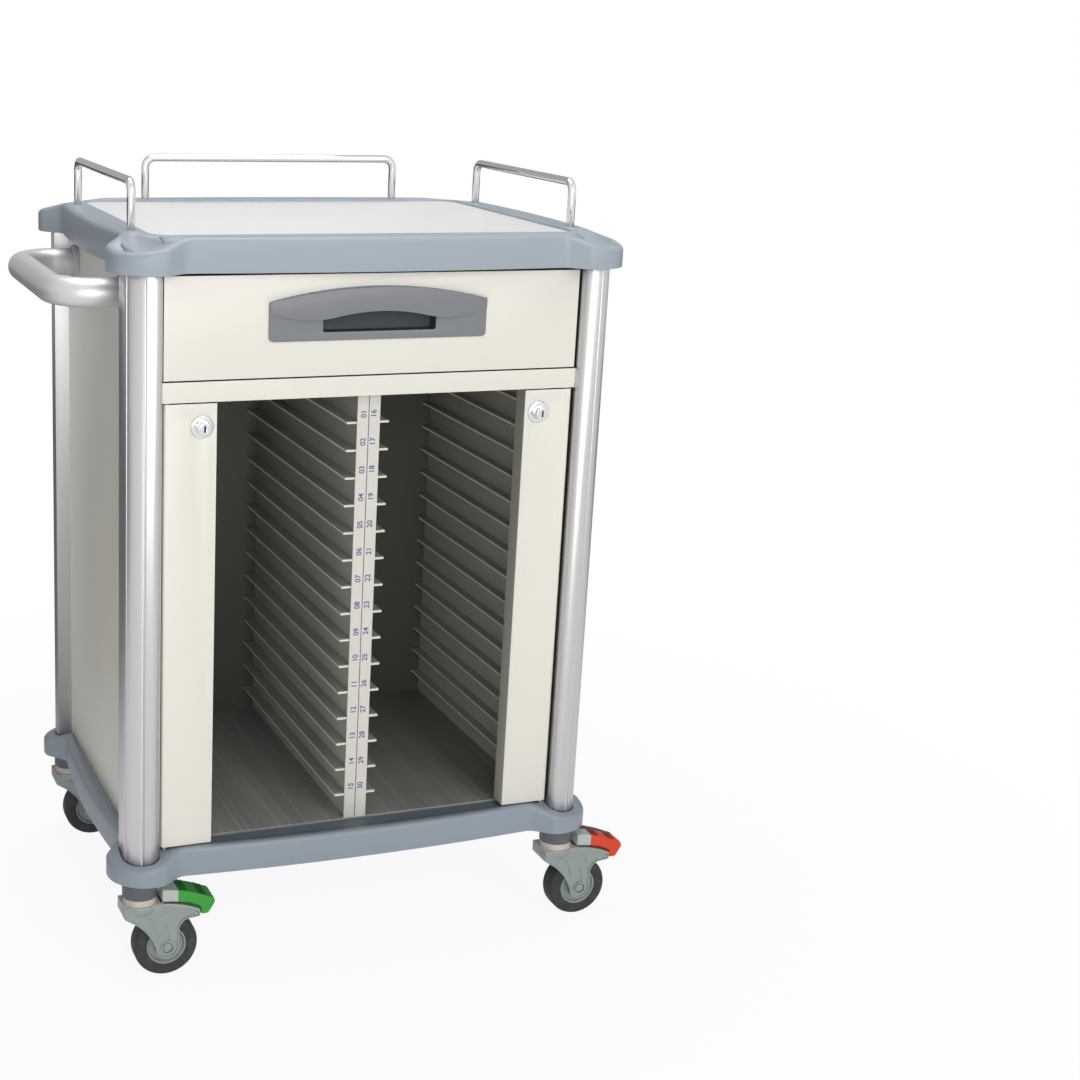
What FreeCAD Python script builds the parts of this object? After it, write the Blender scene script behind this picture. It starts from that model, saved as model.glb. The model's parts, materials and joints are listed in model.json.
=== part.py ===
import FreeCAD, Part

import math
import os

import Sketcher
from FreeCAD import Placement, Rotation, Vector

# Medical chart rack: a ward trolley with two bays of chart runners, a drawer, two locking bars,
# a railed worktop, a push handle and four swivel casters.
#
# Millimetres. X runs left to right, Y front to back, Z up. The origin is on the floor under the
# middle of the body, and the drawer and locking bars face -Y.

doc = FreeCAD.newDocument("chart_rack")

# ---------------------------------------------------------------- driving dimensions

SIZES = [
    ("opening_width", "520", "clear width between the front posts' inner flats, less the reveals"),
    ("body_depth", "440", "drawer face to back panel face"),
    ("reveal", "2", "gap between a front and the post beside it"),
    ("post_width", "41.5", "corner extrusion, flat to outer face"),
    ("post_depth", "50", "corner extrusion, front to back"),
    ("post_round", "30", "quarter-round nose of the corner extrusion"),
    ("post_shoulder", "14", "rounding of its inner front corner"),
    ("post_wall", "3", "wall of the corner extrusion"),
    ("post_step", "16", "corner extrusion's front face ahead of the drawer face"),
    ("stem_side_step", "23", "caster stem outside the opening's edge"),
    ("stem_front_step", "10", "caster stem behind the drawer face"),
    ("flute_radius", "1.1", "shallow grooves along the post's nose"),
    ("flute_spread", "24", "grooves either side of the post's nose, in degrees"),
    ("socket_clearance", "1.2", "gap round a post in its socket"),
    ("socket_floor", "9", "post socket's floor above the base's underside"),
    ("socket_rise", "6", "post socket in the top tray"),
    ("lobe_half", "38", "corner lobe's half width about the caster stem"),
    ("lobe_flat", "21", "lobe's shoulder inside the caster stem"),
    ("lobe_flank", "26", "length of the sloped flank from lobe to dip"),
    ("lobe_drop", "21", "front dip behind the lobe's nose"),
    ("side_drop", "24", "side dip inside the lobe's nose"),
    ("lobe_corner", "48", "rounding of a lobe's outer corner"),
    ("lobe_shoulder", "17", "rounding of a lobe's shoulders and dips"),
    ("lobe_fall", "15", "slope of a lobe's top, in degrees"),
    ("lobe_crease", "27", "start of that slope, measured inwards from the caster stem"),
    ("crease_round", "40", "blend between the flat top and a lobe's slope"),
    ("lobe_slot_width", "1.4", "slots in the top of a tray lobe"),
    ("lobe_slot_spread", "22", "slots either side of the caster stem"),
    ("lobe_slot_outer", "14", "slots' outer ends beyond the caster stem"),
    ("lobe_slot_inner", "8", "slots' inner ends inside the caster stem"),
    ("lobe_slot_depth", "2", "slots at their outer ends"),
    ("front_bow", "10", "outward bow of the front and rear edges"),
    ("side_bow", "9", "outward bow of the side edges"),
    ("rim_round", "6", "rounding along the moulding's top edge"),
    ("base_bottom", "133", "underside of the base above the floor"),
    ("base_height", "36", "height of the base moulding"),
    ("lip_width", "10", "raised lip round the base"),
    ("lip_step", "3", "sill below the lip"),
    ("tray_bottom", "871", "underside of the top tray above the floor"),
    ("tray_height", "40", "height of the top tray moulding"),
    ("worktop_side_step", "6", "worktop panel's end outside the opening's edge"),
    ("worktop_front_step", "23", "worktop panel's edge inside the drawer face"),
    ("worktop_corner", "22", "rounding of the worktop panel's corners"),
    ("worktop_thickness", "9", "worktop panel"),
    ("worktop_recess", "3", "worktop below the tray's rim"),
    ("panel_thickness", "18", "side panel board"),
    ("panel_step", "25", "side panel's outer face outside the opening's edge"),
    ("back_thickness", "12", "back panel board"),
    ("front_thickness", "18", "drawer front and cross rail depth"),
    ("rail_bottom", "722", "underside of the cross rail above the floor"),
    ("rail_height", "24", "cross rail's face"),
    ("rail_wall", "2", "sheet of the cross rail"),
    ("strike_height", "12", "upturned strike lip behind the cross rail"),
    ("front_gap", "1.5", "gap above and below the drawer front and the locking bars"),
    ("tray_gap", "3.5", "gap between the drawer front and the top tray"),
    ("deck_thickness", "2", "sheet that closes the bays under the drawer"),
    ("floor_thickness", "3", "floor plate of the bays"),
    ("sill_depth", "24", "floor plate's front edge behind the drawer face"),
    ("wall_inset", "8", "runner wall's face inside the opening's edge"),
    ("wall_thickness", "4", "runner wall sheet"),
    ("spacer_width", "14", "vertical strip between runner wall and side panel"),
    ("runner_pitch", "34.5", "chart runner spacing"),
    ("runner_drop", "36.5", "top face of the highest runner below the cross rail"),
    ("runner_thickness", "3", "chart runner"),
    ("runner_reach", "12.6", "how far a runner stands out"),
    ("runner_room", "20", "least clear height under the lowest runner"),
    ("divider_width", "29.4", "centre divider"),
    ("divider_sheet", "3", "index strip wider than the divider on each side"),
    ("divider_setback", "24", "centre divider's front behind the drawer face"),
    ("strip_thickness", "2", "index strip on the divider's front edge"),
    ("strip_gap", "2", "index strip below the cross rail"),
    ("runner_back_gap", "2", "chart runners short of the back panel"),
    ("drawer_wall", "5", "drawer box walls and floor"),
    ("drawer_clearance", "5", "drawer box above the deck"),
    ("drawer_headroom", "24", "drawer box below the top tray"),
    ("drawer_back_gap", "18", "drawer box ahead of the back panel"),
    ("slide_end_gap", "3", "fixed slide channel short of the posts"),
    ("slide_width", "13", "side panel to drawer box"),
    ("slide_height", "36", "fixed slide channel"),
    ("slide_wall", "1.5", "slide channel sheet"),
    ("slide_play", "0.4", "gap between slide rail and channel"),
    ("pull_width", "272", "drawer pull moulding"),
    ("pull_side_height", "46", "drawer pull at its ends"),
    ("pull_crown", "17", "rise of the pull's arched top"),
    ("pull_rise", "42.5", "pull's lower edge above the drawer front's"),
    ("pull_plate", "4", "pull plate proud of the drawer front"),
    ("pull_hood", "14", "hood proud of the drawer front in its middle"),
    ("hood_end", "1", "hood proud of the pull plate at its ends"),
    ("pull_corner", "5", "rounding of the pull's lower corners"),
    ("hood_bottom", "25", "hood's lowest points above the pull's lower edge"),
    ("hood_swoop", "140", "curve of the hood's lower edge on both sides of its lowest points"),
    ("hood_low_half", "88", "hood's lowest points from the pull's middle"),
    ("hood_arch", "10", "rise of the hood's arch over the finger pocket"),
    ("pocket_gap", "0.5", "clearance between the pull's cup and the drawer front"),
    ("pocket_skin", "2", "wall of the pull's cup"),
    ("pocket_width", "142", "finger pocket"),
    ("pocket_bottom", "10", "finger pocket above the pull's lower edge"),
    ("pocket_end_height", "15", "finger pocket at its ends"),
    ("pocket_arch", "12", "rise of the finger pocket's arched top"),
    ("pocket_corner", "3", "rounding of the finger pocket's lower corners"),
    ("pocket_depth", "15", "finger pocket into the drawer front"),
    ("bar_width", "64", "locking bar's face"),
    ("bar_sheet", "2", "locking bar sheet"),
    ("bar_return", "25", "locking bar's return flange"),
    ("bar_cap", "14", "end caps of a locking bar behind its face"),
    ("pin_grip", "6", "hinge pin inside the locking bar"),
    ("hinge_inset", "6", "hinge axis from the bar's face and outer edge"),
    ("hinge_pin_radius", "3", "locking bar hinge pin"),
    ("hinge_pin_depth", "12", "hinge pin's hole in the base"),
    ("pin_clearance", "0.05", "radial running clearance of pins and axles"),
    ("lock_inset", "18", "lock axis from the bar's free edge"),
    ("lock_drop", "29", "lock axis below the cross rail"),
    ("lock_flange_width", "3", "lock barrel's flange"),
    ("lock_barrel_depth", "14", "lock barrel behind the bar's sheet"),
    ("key_slot", "8", "key slot's height"),
    ("cam_setback", "20", "cam's front behind the bar's face"),
    ("lock_flange_radius", "14", "lock barrel's flange"),
    ("lock_barrel_radius", "10", "lock barrel"),
    ("lock_plug_radius", "8.5", "turning plug's knob"),
    ("lock_core_radius", "6.5", "turning plug inside the barrel"),
    ("lock_knob_reach", "11", "turning plug beyond the flange"),
    ("cam_length", "34", "lock cam, axis to tip"),
    ("cam_width", "14", "lock cam"),
    ("cam_thickness", "2", "lock cam"),
    ("guard_radius", "5", "guard rail rod"),
    ("guard_height", "60", "guard rail above the tray rim"),
    ("guard_bend", "13", "guard rail bend, to the rod's centre"),
    ("guard_side_gap", "14", "side guard rails outside the worktop panel"),
    ("guard_side_inset", "51", "side guard rails' ends inside the worktop panel's edge"),
    ("guard_rear_gap", "8", "rear guard rail behind the worktop panel"),
    ("guard_rear_inset", "89", "rear guard rail's ends inside the worktop panel's edge"),
    ("handle_radius", "17.5", "push handle tube"),
    ("handle_reach", "78", "push handle's centre beyond the side panel"),
    ("handle_half", "135", "half the push handle's leg spacing"),
    ("handle_bend", "48", "push handle bend, to the tube's centre"),
    ("handle_drop", "33", "push handle axis below the top tray"),
    ("collar_radius", "21.5", "push handle collar"),
    ("collar_width", "7", "push handle collar"),
    ("collar_edge", "2", "bevel of the push handle collar"),
    ("wheel_radius", "40", "caster tyre"),
    ("wheel_width", "28", "caster tyre"),
    ("hub_radius", "25", "caster hub under the tyre"),
    ("hub_width", "26", "caster hub"),
    ("hub_dish", "4", "recess of the hub's web"),
    ("hub_boss", "9", "hub's boss round the axle"),
    ("hub_draft", "2", "slope of the hub's boss and rim"),
    ("hub_rim", "2", "hub's rim"),
    ("tyre_shoulder", "6", "rounding of the tyre's shoulders"),
    ("axle_radius", "4", "caster axle"),
    ("axle_hex", "5.6", "axle's hexagon heads, centre to corner"),
    ("axle_head", "1.6", "axle's hexagon heads"),
    ("axle_pocket_radius", "7", "round pocket for an axle head in the fork cheek"),
    ("axle_pocket", "2", "depth of that pocket"),
    ("axle_boss_radius", "9", "boss round that pocket"),
    ("caster_trail", "31", "wheel axle behind the swivel axis"),
    ("fork_gap", "1.2", "gap between wheel and fork cheek"),
    ("fork_cheek", "4", "fork cheek"),
    ("fork_end_radius", "14.5", "rounded lower end of a fork cheek"),
    ("fork_heel", "73", "sweep of the fork's front edge"),
    ("fork_heel_step", "5.5", "start of that sweep inside the crown"),
    ("fork_heel_drop", "4", "start of that sweep below the crown"),
    ("fork_neck", "21.5", "straight rear edge of a fork cheek above the axle"),
    ("fork_back", "115", "sweep of the fork's upper edge"),
    ("fork_tail", "5", "fork's tail beyond the brake pedal pivot"),
    ("fork_tail_low", "3.5", "fork's tail below the brake pedal pivot"),
    ("fork_tail_high", "5.5", "fork's tail above the brake pedal pivot"),
    ("fork_rim", "2.2", "raised rim round a fork cheek"),
    ("fork_relief", "1", "panel of a fork cheek below its rim and ribs"),
    ("fork_rib", "2", "ribs on a fork cheek"),
    ("rib_sweep", "40", "curve of those ribs"),
    ("fork_crown_radius", "23", "fork crown"),
    ("crown_flare", "6", "fork crown's widening above its underside"),
    ("crown_round", "1.8", "rounding of the fork crown's upper edge"),
    ("fork_ring_radius", "20.5", "bearing cover on the fork crown"),
    ("collar_stem_height", "25", "caster collar under the base"),
    ("fork_ring_height", "8", "bearing cover"),
    ("fork_crown_height", "14", "fork crown under the bearing cover"),
    ("arch_gap", "4.5", "wheel arch inside the fork, clear of the tyre"),
    ("swivel_gap", "0.3", "gap between turning and fixed faces"),
    ("stem_radius", "6", "caster stem"),
    ("stem_rise", "34", "caster stem above the base's underside"),
    ("stem_head", "4", "rim of the stem's lower head, round the stem"),
    ("stem_head_height", "3", "stem's lower head"),
    ("stem_head_gap", "1", "gap round the stem's lower head"),
    ("collar_stem_radius", "21.5", "caster collar under the base"),
    ("pedal_pivot_step", "67", "brake pedal pivot from the swivel axis"),
    ("pedal_pivot_drop", "26.7", "brake pedal pivot below the fork's top"),
    ("pedal_gap", "1.6", "brake pedal clear of the fork's upper edge and tail"),
    ("pedal_back", "160", "curve of the pedal's top"),
    ("pedal_arm", "16", "thickness of the pedal's arm"),
    ("pedal_nose_step", "25.5", "pedal's nose from its pivot"),
    ("pedal_nose_rise", "11", "pedal's nose above its pivot"),
    ("pedal_nose_slope", "9", "fall of the pedal's top before its nose"),
    ("pedal_nose_round", "9", "rounding of the pedal's nose"),
    ("pedal_lip", "3.5", "pedal's lip below its pivot"),
    ("pedal_lip_depth", "10", "pedal's lip, front to back"),
    ("pedal_pin_radius", "2.5", "brake pedal pivot pin"),
    ("pedal_width", "34", "brake pedal's pad"),
    ("pedal_web", "22", "brake pedal's web between the fork cheeks"),
    ("pedal_web_play", "1", "gap beside that web"),
    ("pedal_web_length", "24", "that web along the pedal"),
    ("pedal_web_foot", "8", "that web below the pedal's pivot"),
    ("screw_radius", "5", "back panel screw heads"),
    ("screw_height", "2.2", "back panel screw heads"),
    ("screw_margin", "14", "back panel screws from the panel's edge"),
    ("screw_rows", "4", "back panel screws along each side"),
]


class Dim:
    """A length that carries its value and the sheet formula it comes from."""

    def __init__(self, value, formula):
        self.value = value
        self.formula = formula

    @staticmethod
    def of(item):
        return item if isinstance(item, Dim) else Dim(float(item), repr(float(item)))

    def joined(self, other, sign, value):
        return Dim(value, f"({self.formula} {sign} {other.formula})")

    def __add__(self, other):
        other = Dim.of(other)
        return self.joined(other, "+", self.value + other.value)

    def __radd__(self, other):
        return Dim.of(other) + self

    def __sub__(self, other):
        other = Dim.of(other)
        return self.joined(other, "-", self.value - other.value)

    def __rsub__(self, other):
        return Dim.of(other) - self

    def __mul__(self, other):
        other = Dim.of(other)
        return self.joined(other, "*", self.value * other.value)

    def __rmul__(self, other):
        return Dim.of(other) * self

    def __truediv__(self, other):
        other = Dim.of(other)
        return self.joined(other, "/", self.value / other.value)

    def __neg__(self):
        return Dim.of(0) - self

    def root(self):
        """The square root."""
        return Dim(math.sqrt(self.value), f"sqrt({self.formula})")


class Sizes:
    """The sheet's cells by name, each as a Dim."""


sheet = doc.addObject("Spreadsheet::Sheet", "sizes")
size = Sizes()
for row, (alias, number, meaning) in enumerate(SIZES, start=1):
    sheet.set(f"A{row}", alias)
    sheet.set(f"B{row}", number)
    sheet.set(f"C{row}", meaning)
    sheet.setAlias(f"B{row}", alias)
    setattr(size, alias, Dim(float(number), f"sizes.{alias}"))
doc.recompute()

# ---------------------------------------------------------------- shared places

half_width = size.opening_width / 2
half_depth = size.body_depth / 2
stem_x = half_width + size.stem_side_step
stem_y = half_depth - size.stem_front_step
post_flat_x = half_width + size.reveal
post_face_x = post_flat_x + size.post_width
post_face_y = half_depth + size.post_step
post_flat_y = post_face_y - size.post_depth
lobe_x = stem_x + size.lobe_half
lobe_y = stem_y + size.lobe_half
base_top = size.base_bottom + size.base_height
sill_top = base_top - size.lip_step
tray_top = size.tray_bottom + size.tray_height
panel_outer = half_width + size.panel_step
panel_inner = panel_outer - size.panel_thickness
back_inner = half_depth - size.back_thickness
rail_top = size.rail_bottom + size.rail_height
front_back = size.front_thickness - half_depth
floor_top = sill_top + size.floor_thickness
floor_front = size.sill_depth - half_depth
wall_face = half_width - size.wall_inset
wall_back = wall_face + size.wall_thickness
deck_bottom = rail_top - size.rail_wall - size.deck_thickness
drawer_bottom = deck_bottom + size.deck_thickness + size.drawer_clearance
drawer_top = size.tray_bottom - size.drawer_headroom
drawer_back = back_inner - size.drawer_back_gap
face_bottom = rail_top + size.front_gap
pull_bottom = face_bottom + size.pull_rise
worktop_half_width = half_width + size.worktop_side_step
worktop_half_depth = half_depth - size.worktop_front_step
handle_height = size.tray_bottom - size.handle_drop
slide_half = post_flat_y - size.slide_end_gap
drawer_half = panel_inner - size.slide_width
hinge_x = half_width - size.hinge_inset
hinge_y = size.hinge_inset - half_depth
bar_bottom = base_top + size.front_gap
bar_top = size.rail_bottom - size.front_gap
lock_height = size.rail_bottom - size.lock_drop
lock_x = half_width - size.bar_width + size.lock_inset
stem_hole = size.stem_radius + size.pin_clearance
pin_hole = size.hinge_pin_radius + size.pin_clearance
post_foot = size.base_bottom + size.socket_floor
post_head = size.tray_bottom + size.socket_rise
wheel_arch = size.wheel_radius + size.arch_gap
fork_top = size.base_bottom - size.collar_stem_height - size.swivel_gap
crown_top = fork_top - size.fork_ring_height
crown_bottom = crown_top - size.fork_crown_height
pedal_pivot_height = fork_top - size.pedal_pivot_drop
fork_half = size.wheel_width / 2 + size.fork_gap + size.fork_cheek
SIDES = {"left": -1, "right": 1}
ENDS = {"front": -1, "rear": 1}
CORNERS = {f"{end}_{side}": (sx, sy) for end, sy in ENDS.items() for side, sx in SIDES.items()}

# ---------------------------------------------------------------- building blocks

ALONG = {
    "x": Rotation(Vector(0, 1, 0), 90),
    "y": Rotation(Vector(1, 0, 0), -90),
    "z": Rotation(),
}
PLANES = {"z": "XY_Plane", "y": "XZ_Plane", "x": "YZ_Plane"}


def bind(item, prop, length):
    """Tie a property to a length's sheet formula."""
    item.setExpression(prop, Dim.of(length).formula)


def place(item, x=0, y=0, z=0):
    """Tie an object's position to the sheet."""
    for axis, length in zip("xyz", (x, y, z)):
        bind(item, f"Placement.Base.{axis}", length)
    return item


def span(a, b):
    """Two lengths in rising order."""
    return (a, b) if Dim.of(a).value < Dim.of(b).value else (b, a)


def box(label, x, y, z):
    """A block between two values along each axis, given in any order."""
    item = doc.addObject("Part::Box", label)
    lows = []
    for prop, ends in zip(("Length", "Width", "Height"), (x, y, z)):
        low, high = span(*ends)
        bind(item, prop, Dim.of(high) - low)
        lows.append(low)
    return place(item, *lows)


def rod(label, axis, centre, ends, radius):
    """A cylinder along an axis: centre holds the two other coordinates in X, Y, Z order."""
    item = doc.addObject("Part::Cylinder", label)
    low, high = span(*ends)
    bind(item, "Radius", radius)
    bind(item, "Height", Dim.of(high) - low)
    item.Placement = Placement(Vector(), ALONG[axis])
    spots = list(centre)
    spots.insert("xyz".index(axis), low)
    return place(item, *spots)


def fuse(label, *parts):
    item = doc.addObject("Part::MultiFuse", label)
    item.Shapes = list(parts)
    item.Refine = True
    return item


def group(label, parts):
    """Separate solids that share one node."""
    item = doc.addObject("Part::Compound", label)
    item.Links = list(parts)
    return item


def common(label, first, second):
    item = doc.addObject("Part::Common", label)
    item.Base = first
    item.Tool = second
    return item


def cut(label, base, *tools):
    item = doc.addObject("Part::Cut", label)
    item.Base = base
    item.Tool = tools[0] if len(tools) == 1 else fuse(f"{label}_tools", *tools)
    item.Refine = True
    return item


def start_sketch(body, name, plane):
    """A sketch on one of the body's own origin planes."""
    sketch = body.newObject("Sketcher::SketchObject", name)
    base = [f for f in body.Origin.OriginFeatures if f.Role == plane][0]
    sketch.AttachmentSupport = [(base, "")]
    sketch.MapMode = "FlatFace"
    return sketch


def hold(sketch, kind, element, point, length):
    """Fix one coordinate of a sketch point by a formula, measured in its positive sense."""
    length = Dim.of(length)
    if abs(length.value) < 1e-9:
        other = -2 if kind == "DistanceX" else -1
        sketch.addConstraint(Sketcher.Constraint("PointOnObject", element, point, other))
        return
    if length.value < 0:
        index = sketch.addConstraint(Sketcher.Constraint(kind, element, point, -1, 1, -length.value))
        sketch.setExpression(f"Constraints[{index}]", (-length).formula)
    else:
        index = sketch.addConstraint(Sketcher.Constraint(kind, -1, 1, element, point, length.value))
        sketch.setExpression(f"Constraints[{index}]", length.formula)


def arc_between(start, end, radius, side):
    """The minor arc from start to end whose centre lies on the given side of the chord."""
    chord = end - start
    middle = (start + end) * 0.5
    rise = math.sqrt(max(radius * radius - chord.Length * chord.Length / 4, 0))
    normal = Vector(-chord.y, chord.x, 0).normalize()
    centre = middle + normal * (rise * side)
    angles = [math.atan2(p.y - centre.y, p.x - centre.x) for p in (start, end)]
    if side < 0:
        angles.reverse()
    if angles[1] < angles[0]:
        angles[1] += 2 * math.pi
    return Part.ArcOfCircle(Part.Circle(centre, Vector(0, 0, 1), radius), *angles)


def draw_outline(sketch, corners, closed=True):
    """Lines and arcs through the corners, tied to the sheet.

    A corner is (u, v) or (u, v, radius, side): the last two bend the stretch that follows it
    into an arc whose centre lies to the left (1) or right (-1) of the way on."""
    count = len(corners)
    spots = [Vector(Dim.of(c[0]).value, Dim.of(c[1]).value, 0) for c in corners]
    stretches = count if closed else count - 1
    starts, ends = [], []
    for i in range(stretches):
        here, there, corner = spots[i], spots[(i + 1) % count], corners[i]
        if len(corner) == 2:
            element = sketch.addGeometry(Part.LineSegment(here, there), False)
            starts.append((element, 1))
            ends.append((element, 2))
            continue
        radius, side = Dim.of(corner[2]), corner[3]
        element = sketch.addGeometry(arc_between(here, there, radius.value, side), False)
        starts.append((element, 1 if side > 0 else 2))
        ends.append((element, 2 if side > 0 else 1))
        index = sketch.addConstraint(Sketcher.Constraint("Radius", element, radius.value))
        sketch.setExpression(f"Constraints[{index}]", radius.formula)
    for i in range(0 if closed else 1, stretches):
        sketch.addConstraint(Sketcher.Constraint("Coincident", *ends[i - 1], *starts[i]))
    held = starts if closed else starts + [ends[-1]]
    for (element, point), corner in zip(held, corners):
        hold(sketch, "DistanceX", element, point, corner[0])
        hold(sketch, "DistanceY", element, point, corner[1])


def edges_across(shape, axis, spots):
    """Names of the straight edges along an axis that stand on the given outline points."""
    flat = {"x": "yz", "y": "xz", "z": "xy"}[axis]
    names = []
    for number, edge in enumerate(shape.Edges, start=1):
        if len(edge.Vertexes) != 2:
            continue
        first, last = ([getattr(v.Point, a) for a in flat] for v in edge.Vertexes)
        if math.dist(first, last) < 1e-6 and any(math.dist(first, s) < 1e-4 for s in spots):
            names.append(f"Edge{number}")
    if len(names) != len(spots):
        raise ValueError(f"{len(names)} of {len(spots)} edges found")
    return names


def pad_body(label, axis, corners, ends, rounds=()):
    """A body padded across an axis from an outline.

    rounds holds pairs of a radius and the outline corners, by number, that it rounds."""
    body = doc.addObject("PartDesign::Body", label)
    sketch = start_sketch(body, f"{label}_outline", PLANES[axis])
    draw_outline(sketch, corners)
    last = body.newObject("PartDesign::Pad", f"{label}_pad")
    last.Profile = sketch
    low, high = span(*ends)
    bind(last, "Length", Dim.of(high) - low)
    doc.recompute()
    for number, (radius, which) in enumerate(rounds):
        spots = [[Dim.of(c).value for c in corners[i][:2]] for i in which]
        names = edges_across(last.Shape, axis, spots)
        fillet = body.newObject("PartDesign::Fillet", f"{label}_round_{number}")
        fillet.Base = (last, names)
        bind(fillet, "Radius", radius)
        doc.recompute()
        last = fillet
    return place(body, **{axis: high if axis == "y" else low})


def turned_body(label, axis, corners, centre):
    """A body turned about an axis through the centre from corners (radius, along)."""
    body = doc.addObject("PartDesign::Body", label)
    sketch = start_sketch(body, f"{label}_profile", "XZ_Plane" if axis == "z" else "XY_Plane")
    flipped = [(c[1], c[0], *c[2:3], *(-s for s in c[3:4])) for c in corners]
    draw_outline(sketch, flipped if axis == "x" else corners)
    turn = body.newObject("PartDesign::Revolution", f"{label}_turn")
    turn.Profile = sketch
    turn.ReferenceAxis = (sketch, ["H_Axis" if axis == "x" else "V_Axis"])
    turn.Angle = 360
    return place(body, *centre)


def rod_body(label, plane, corners, radius, centre):
    """A round rod along a path of runs and bends drawn in an origin plane from its first corner,
    which lies on the plane that the rod starts square to."""
    body = doc.addObject("PartDesign::Body", label)
    path = start_sketch(body, f"{label}_path", plane)
    draw_outline(path, corners, closed=False)
    section = start_sketch(body, f"{label}_section", "YZ_Plane" if plane == "XY_Plane" else "XY_Plane")
    start = corners[0][0] if plane == "XZ_Plane" else corners[0][1 if plane == "XY_Plane" else 0]
    across = plane == "YZ_Plane"
    spot = (0, start) if across else (start, 0)
    at = Vector(Dim.of(spot[0]).value, Dim.of(spot[1]).value, 0)
    circle = section.addGeometry(Part.Circle(at, Vector(0, 0, 1), Dim.of(radius).value), False)
    index = section.addConstraint(Sketcher.Constraint("Radius", circle, Dim.of(radius).value))
    section.setExpression(f"Constraints[{index}]", Dim.of(radius).formula)
    hold(section, "DistanceX", circle, 3, spot[0])
    hold(section, "DistanceY", circle, 3, spot[1])
    pipe = body.newObject("PartDesign::AdditivePipe", f"{label}_sweep")
    pipe.Profile = section
    pipe.Spine = path
    return place(body, *centre)


def u_path(half, rise, bend):
    """The path of a bracket: out from (-half, 0), across at the rise, and back to (half, 0)."""
    inner = half - bend
    shoulder = rise - bend
    return [(-half, 0), (-half, shoulder, bend, -1), (-inner, rise), (inner, rise, bend, -1),
            (half, shoulder), (half, 0)]


nodes = []


def node(item):
    """Name an object as one of the part's own sub-parts."""
    nodes.append(item)
    return item


# ---------------------------------------------------------------- base and top mouldings


def arc_radius(half_chord, bow):
    return (half_chord * half_chord + bow * bow) / (2 * bow)


def moulding(label, bottom, top):
    """The plan that base and top tray share: bowed edges between four rounded corner lobes,
    with each lobe's top falling away towards its corner."""
    front_dip = lobe_y - size.lobe_drop
    side_dip = lobe_x - size.side_drop
    nose_x = stem_x - size.lobe_flat
    nose_y = stem_y - size.lobe_flat
    dip_x = nose_x - size.lobe_flank
    dip_y = nose_y - size.lobe_flank
    long_bow = arc_radius(dip_x, size.front_bow)
    short_bow = arc_radius(dip_y, size.side_bow)
    outline = [
        (-dip_x, -front_dip, long_bow, 1), (dip_x, -front_dip), (nose_x, -lobe_y),
        (lobe_x, -lobe_y), (lobe_x, -nose_y),
        (side_dip, -dip_y, short_bow, 1), (side_dip, dip_y), (lobe_x, nose_y),
        (lobe_x, lobe_y), (nose_x, lobe_y),
        (dip_x, front_dip, long_bow, 1), (-dip_x, front_dip), (-nose_x, lobe_y),
        (-lobe_x, lobe_y), (-lobe_x, nose_y),
        (-side_dip, dip_y, short_bow, 1), (-side_dip, -dip_y), (-lobe_x, -nose_y),
        (-lobe_x, -lobe_y), (-nose_x, -lobe_y),
    ]
    outer = [3, 8, 13, 18]
    flanks = [i for i in range(20) if i not in outer]
    blank = pad_body(f"{label}_blank", "z", outline, (bottom, top),
                     [(size.lobe_corner, outer), (size.lobe_shoulder, flanks)])
    shaped = cut(f"{label}_sloped", blank, *(slope(label, sx, sy, top) for sx, sy in CORNERS.values()))
    blended = rounded(f"{label}_blended", shaped, creases(shaped, top), size.crease_round)
    return rounded(f"{label}_rounded", blended, top_outline(blended.Shape), size.rim_round)


def rounded(label, base, numbers, radius):
    """A fillet of one radius on the base's edges of the given numbers."""
    item = doc.addObject("Part::Fillet", label)
    item.Base = base
    item.Edges = [(number, radius.value, radius.value) for number in numbers]
    doc.recompute()
    return item


def creases(item, top):
    """Numbers of the edges across the top where a lobe's slope starts."""
    doc.recompute()
    numbers = []
    for number, edge in enumerate(item.Shape.Edges, start=1):
        level = all(abs(v.Point.z - top.value) < 1e-6 for v in edge.Vertexes)
        if level and min(face_rises(item.Shape, edge)) > 0.5:
            numbers.append(number)
    return numbers


def face_rises(shape, edge):
    """The upward share of the normals of the faces beside an edge, at the edge's start."""
    rises = []
    for face in shape.ancestorsOfType(edge, Part.Face):
        u, v = face.Surface.parameter(edge.valueAt(edge.FirstParameter))
        rises.append(face.normalAt(u, v).z)
    return rises


def slope(label, sx, sy, top):
    """A tilted block that takes a lobe's top down towards its corner."""
    reach, spread, lift = 150, 260, 60
    turn = math.degrees(math.atan2(sy, sx))
    item = doc.addObject("Part::Box", f"{label}_slope")
    item.Length, item.Width, item.Height = reach, spread, lift
    tilt = Rotation(Vector(0, 1, 0), size.lobe_fall.value)
    item.Placement = Placement(Vector(), Rotation(Vector(0, 0, 1), turn) * tilt)
    step = size.lobe_crease * math.sqrt(0.5)
    half = spread / 2 * math.sqrt(0.5)
    return place(item, (stem_x - step) * sx + half * sy, (stem_y - step) * sy - half * sx, top)


def top_outline(shape):
    """Numbers of the edges between an upright outer wall and a top face."""
    numbers = []
    for number, edge in enumerate(shape.Edges, start=1):
        rises = face_rises(shape, edge)
        if len(rises) == 2 and min(abs(r) for r in rises) < 1e-3 and max(rises) > 0.5:
            numbers.append(number)
    return numbers


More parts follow.
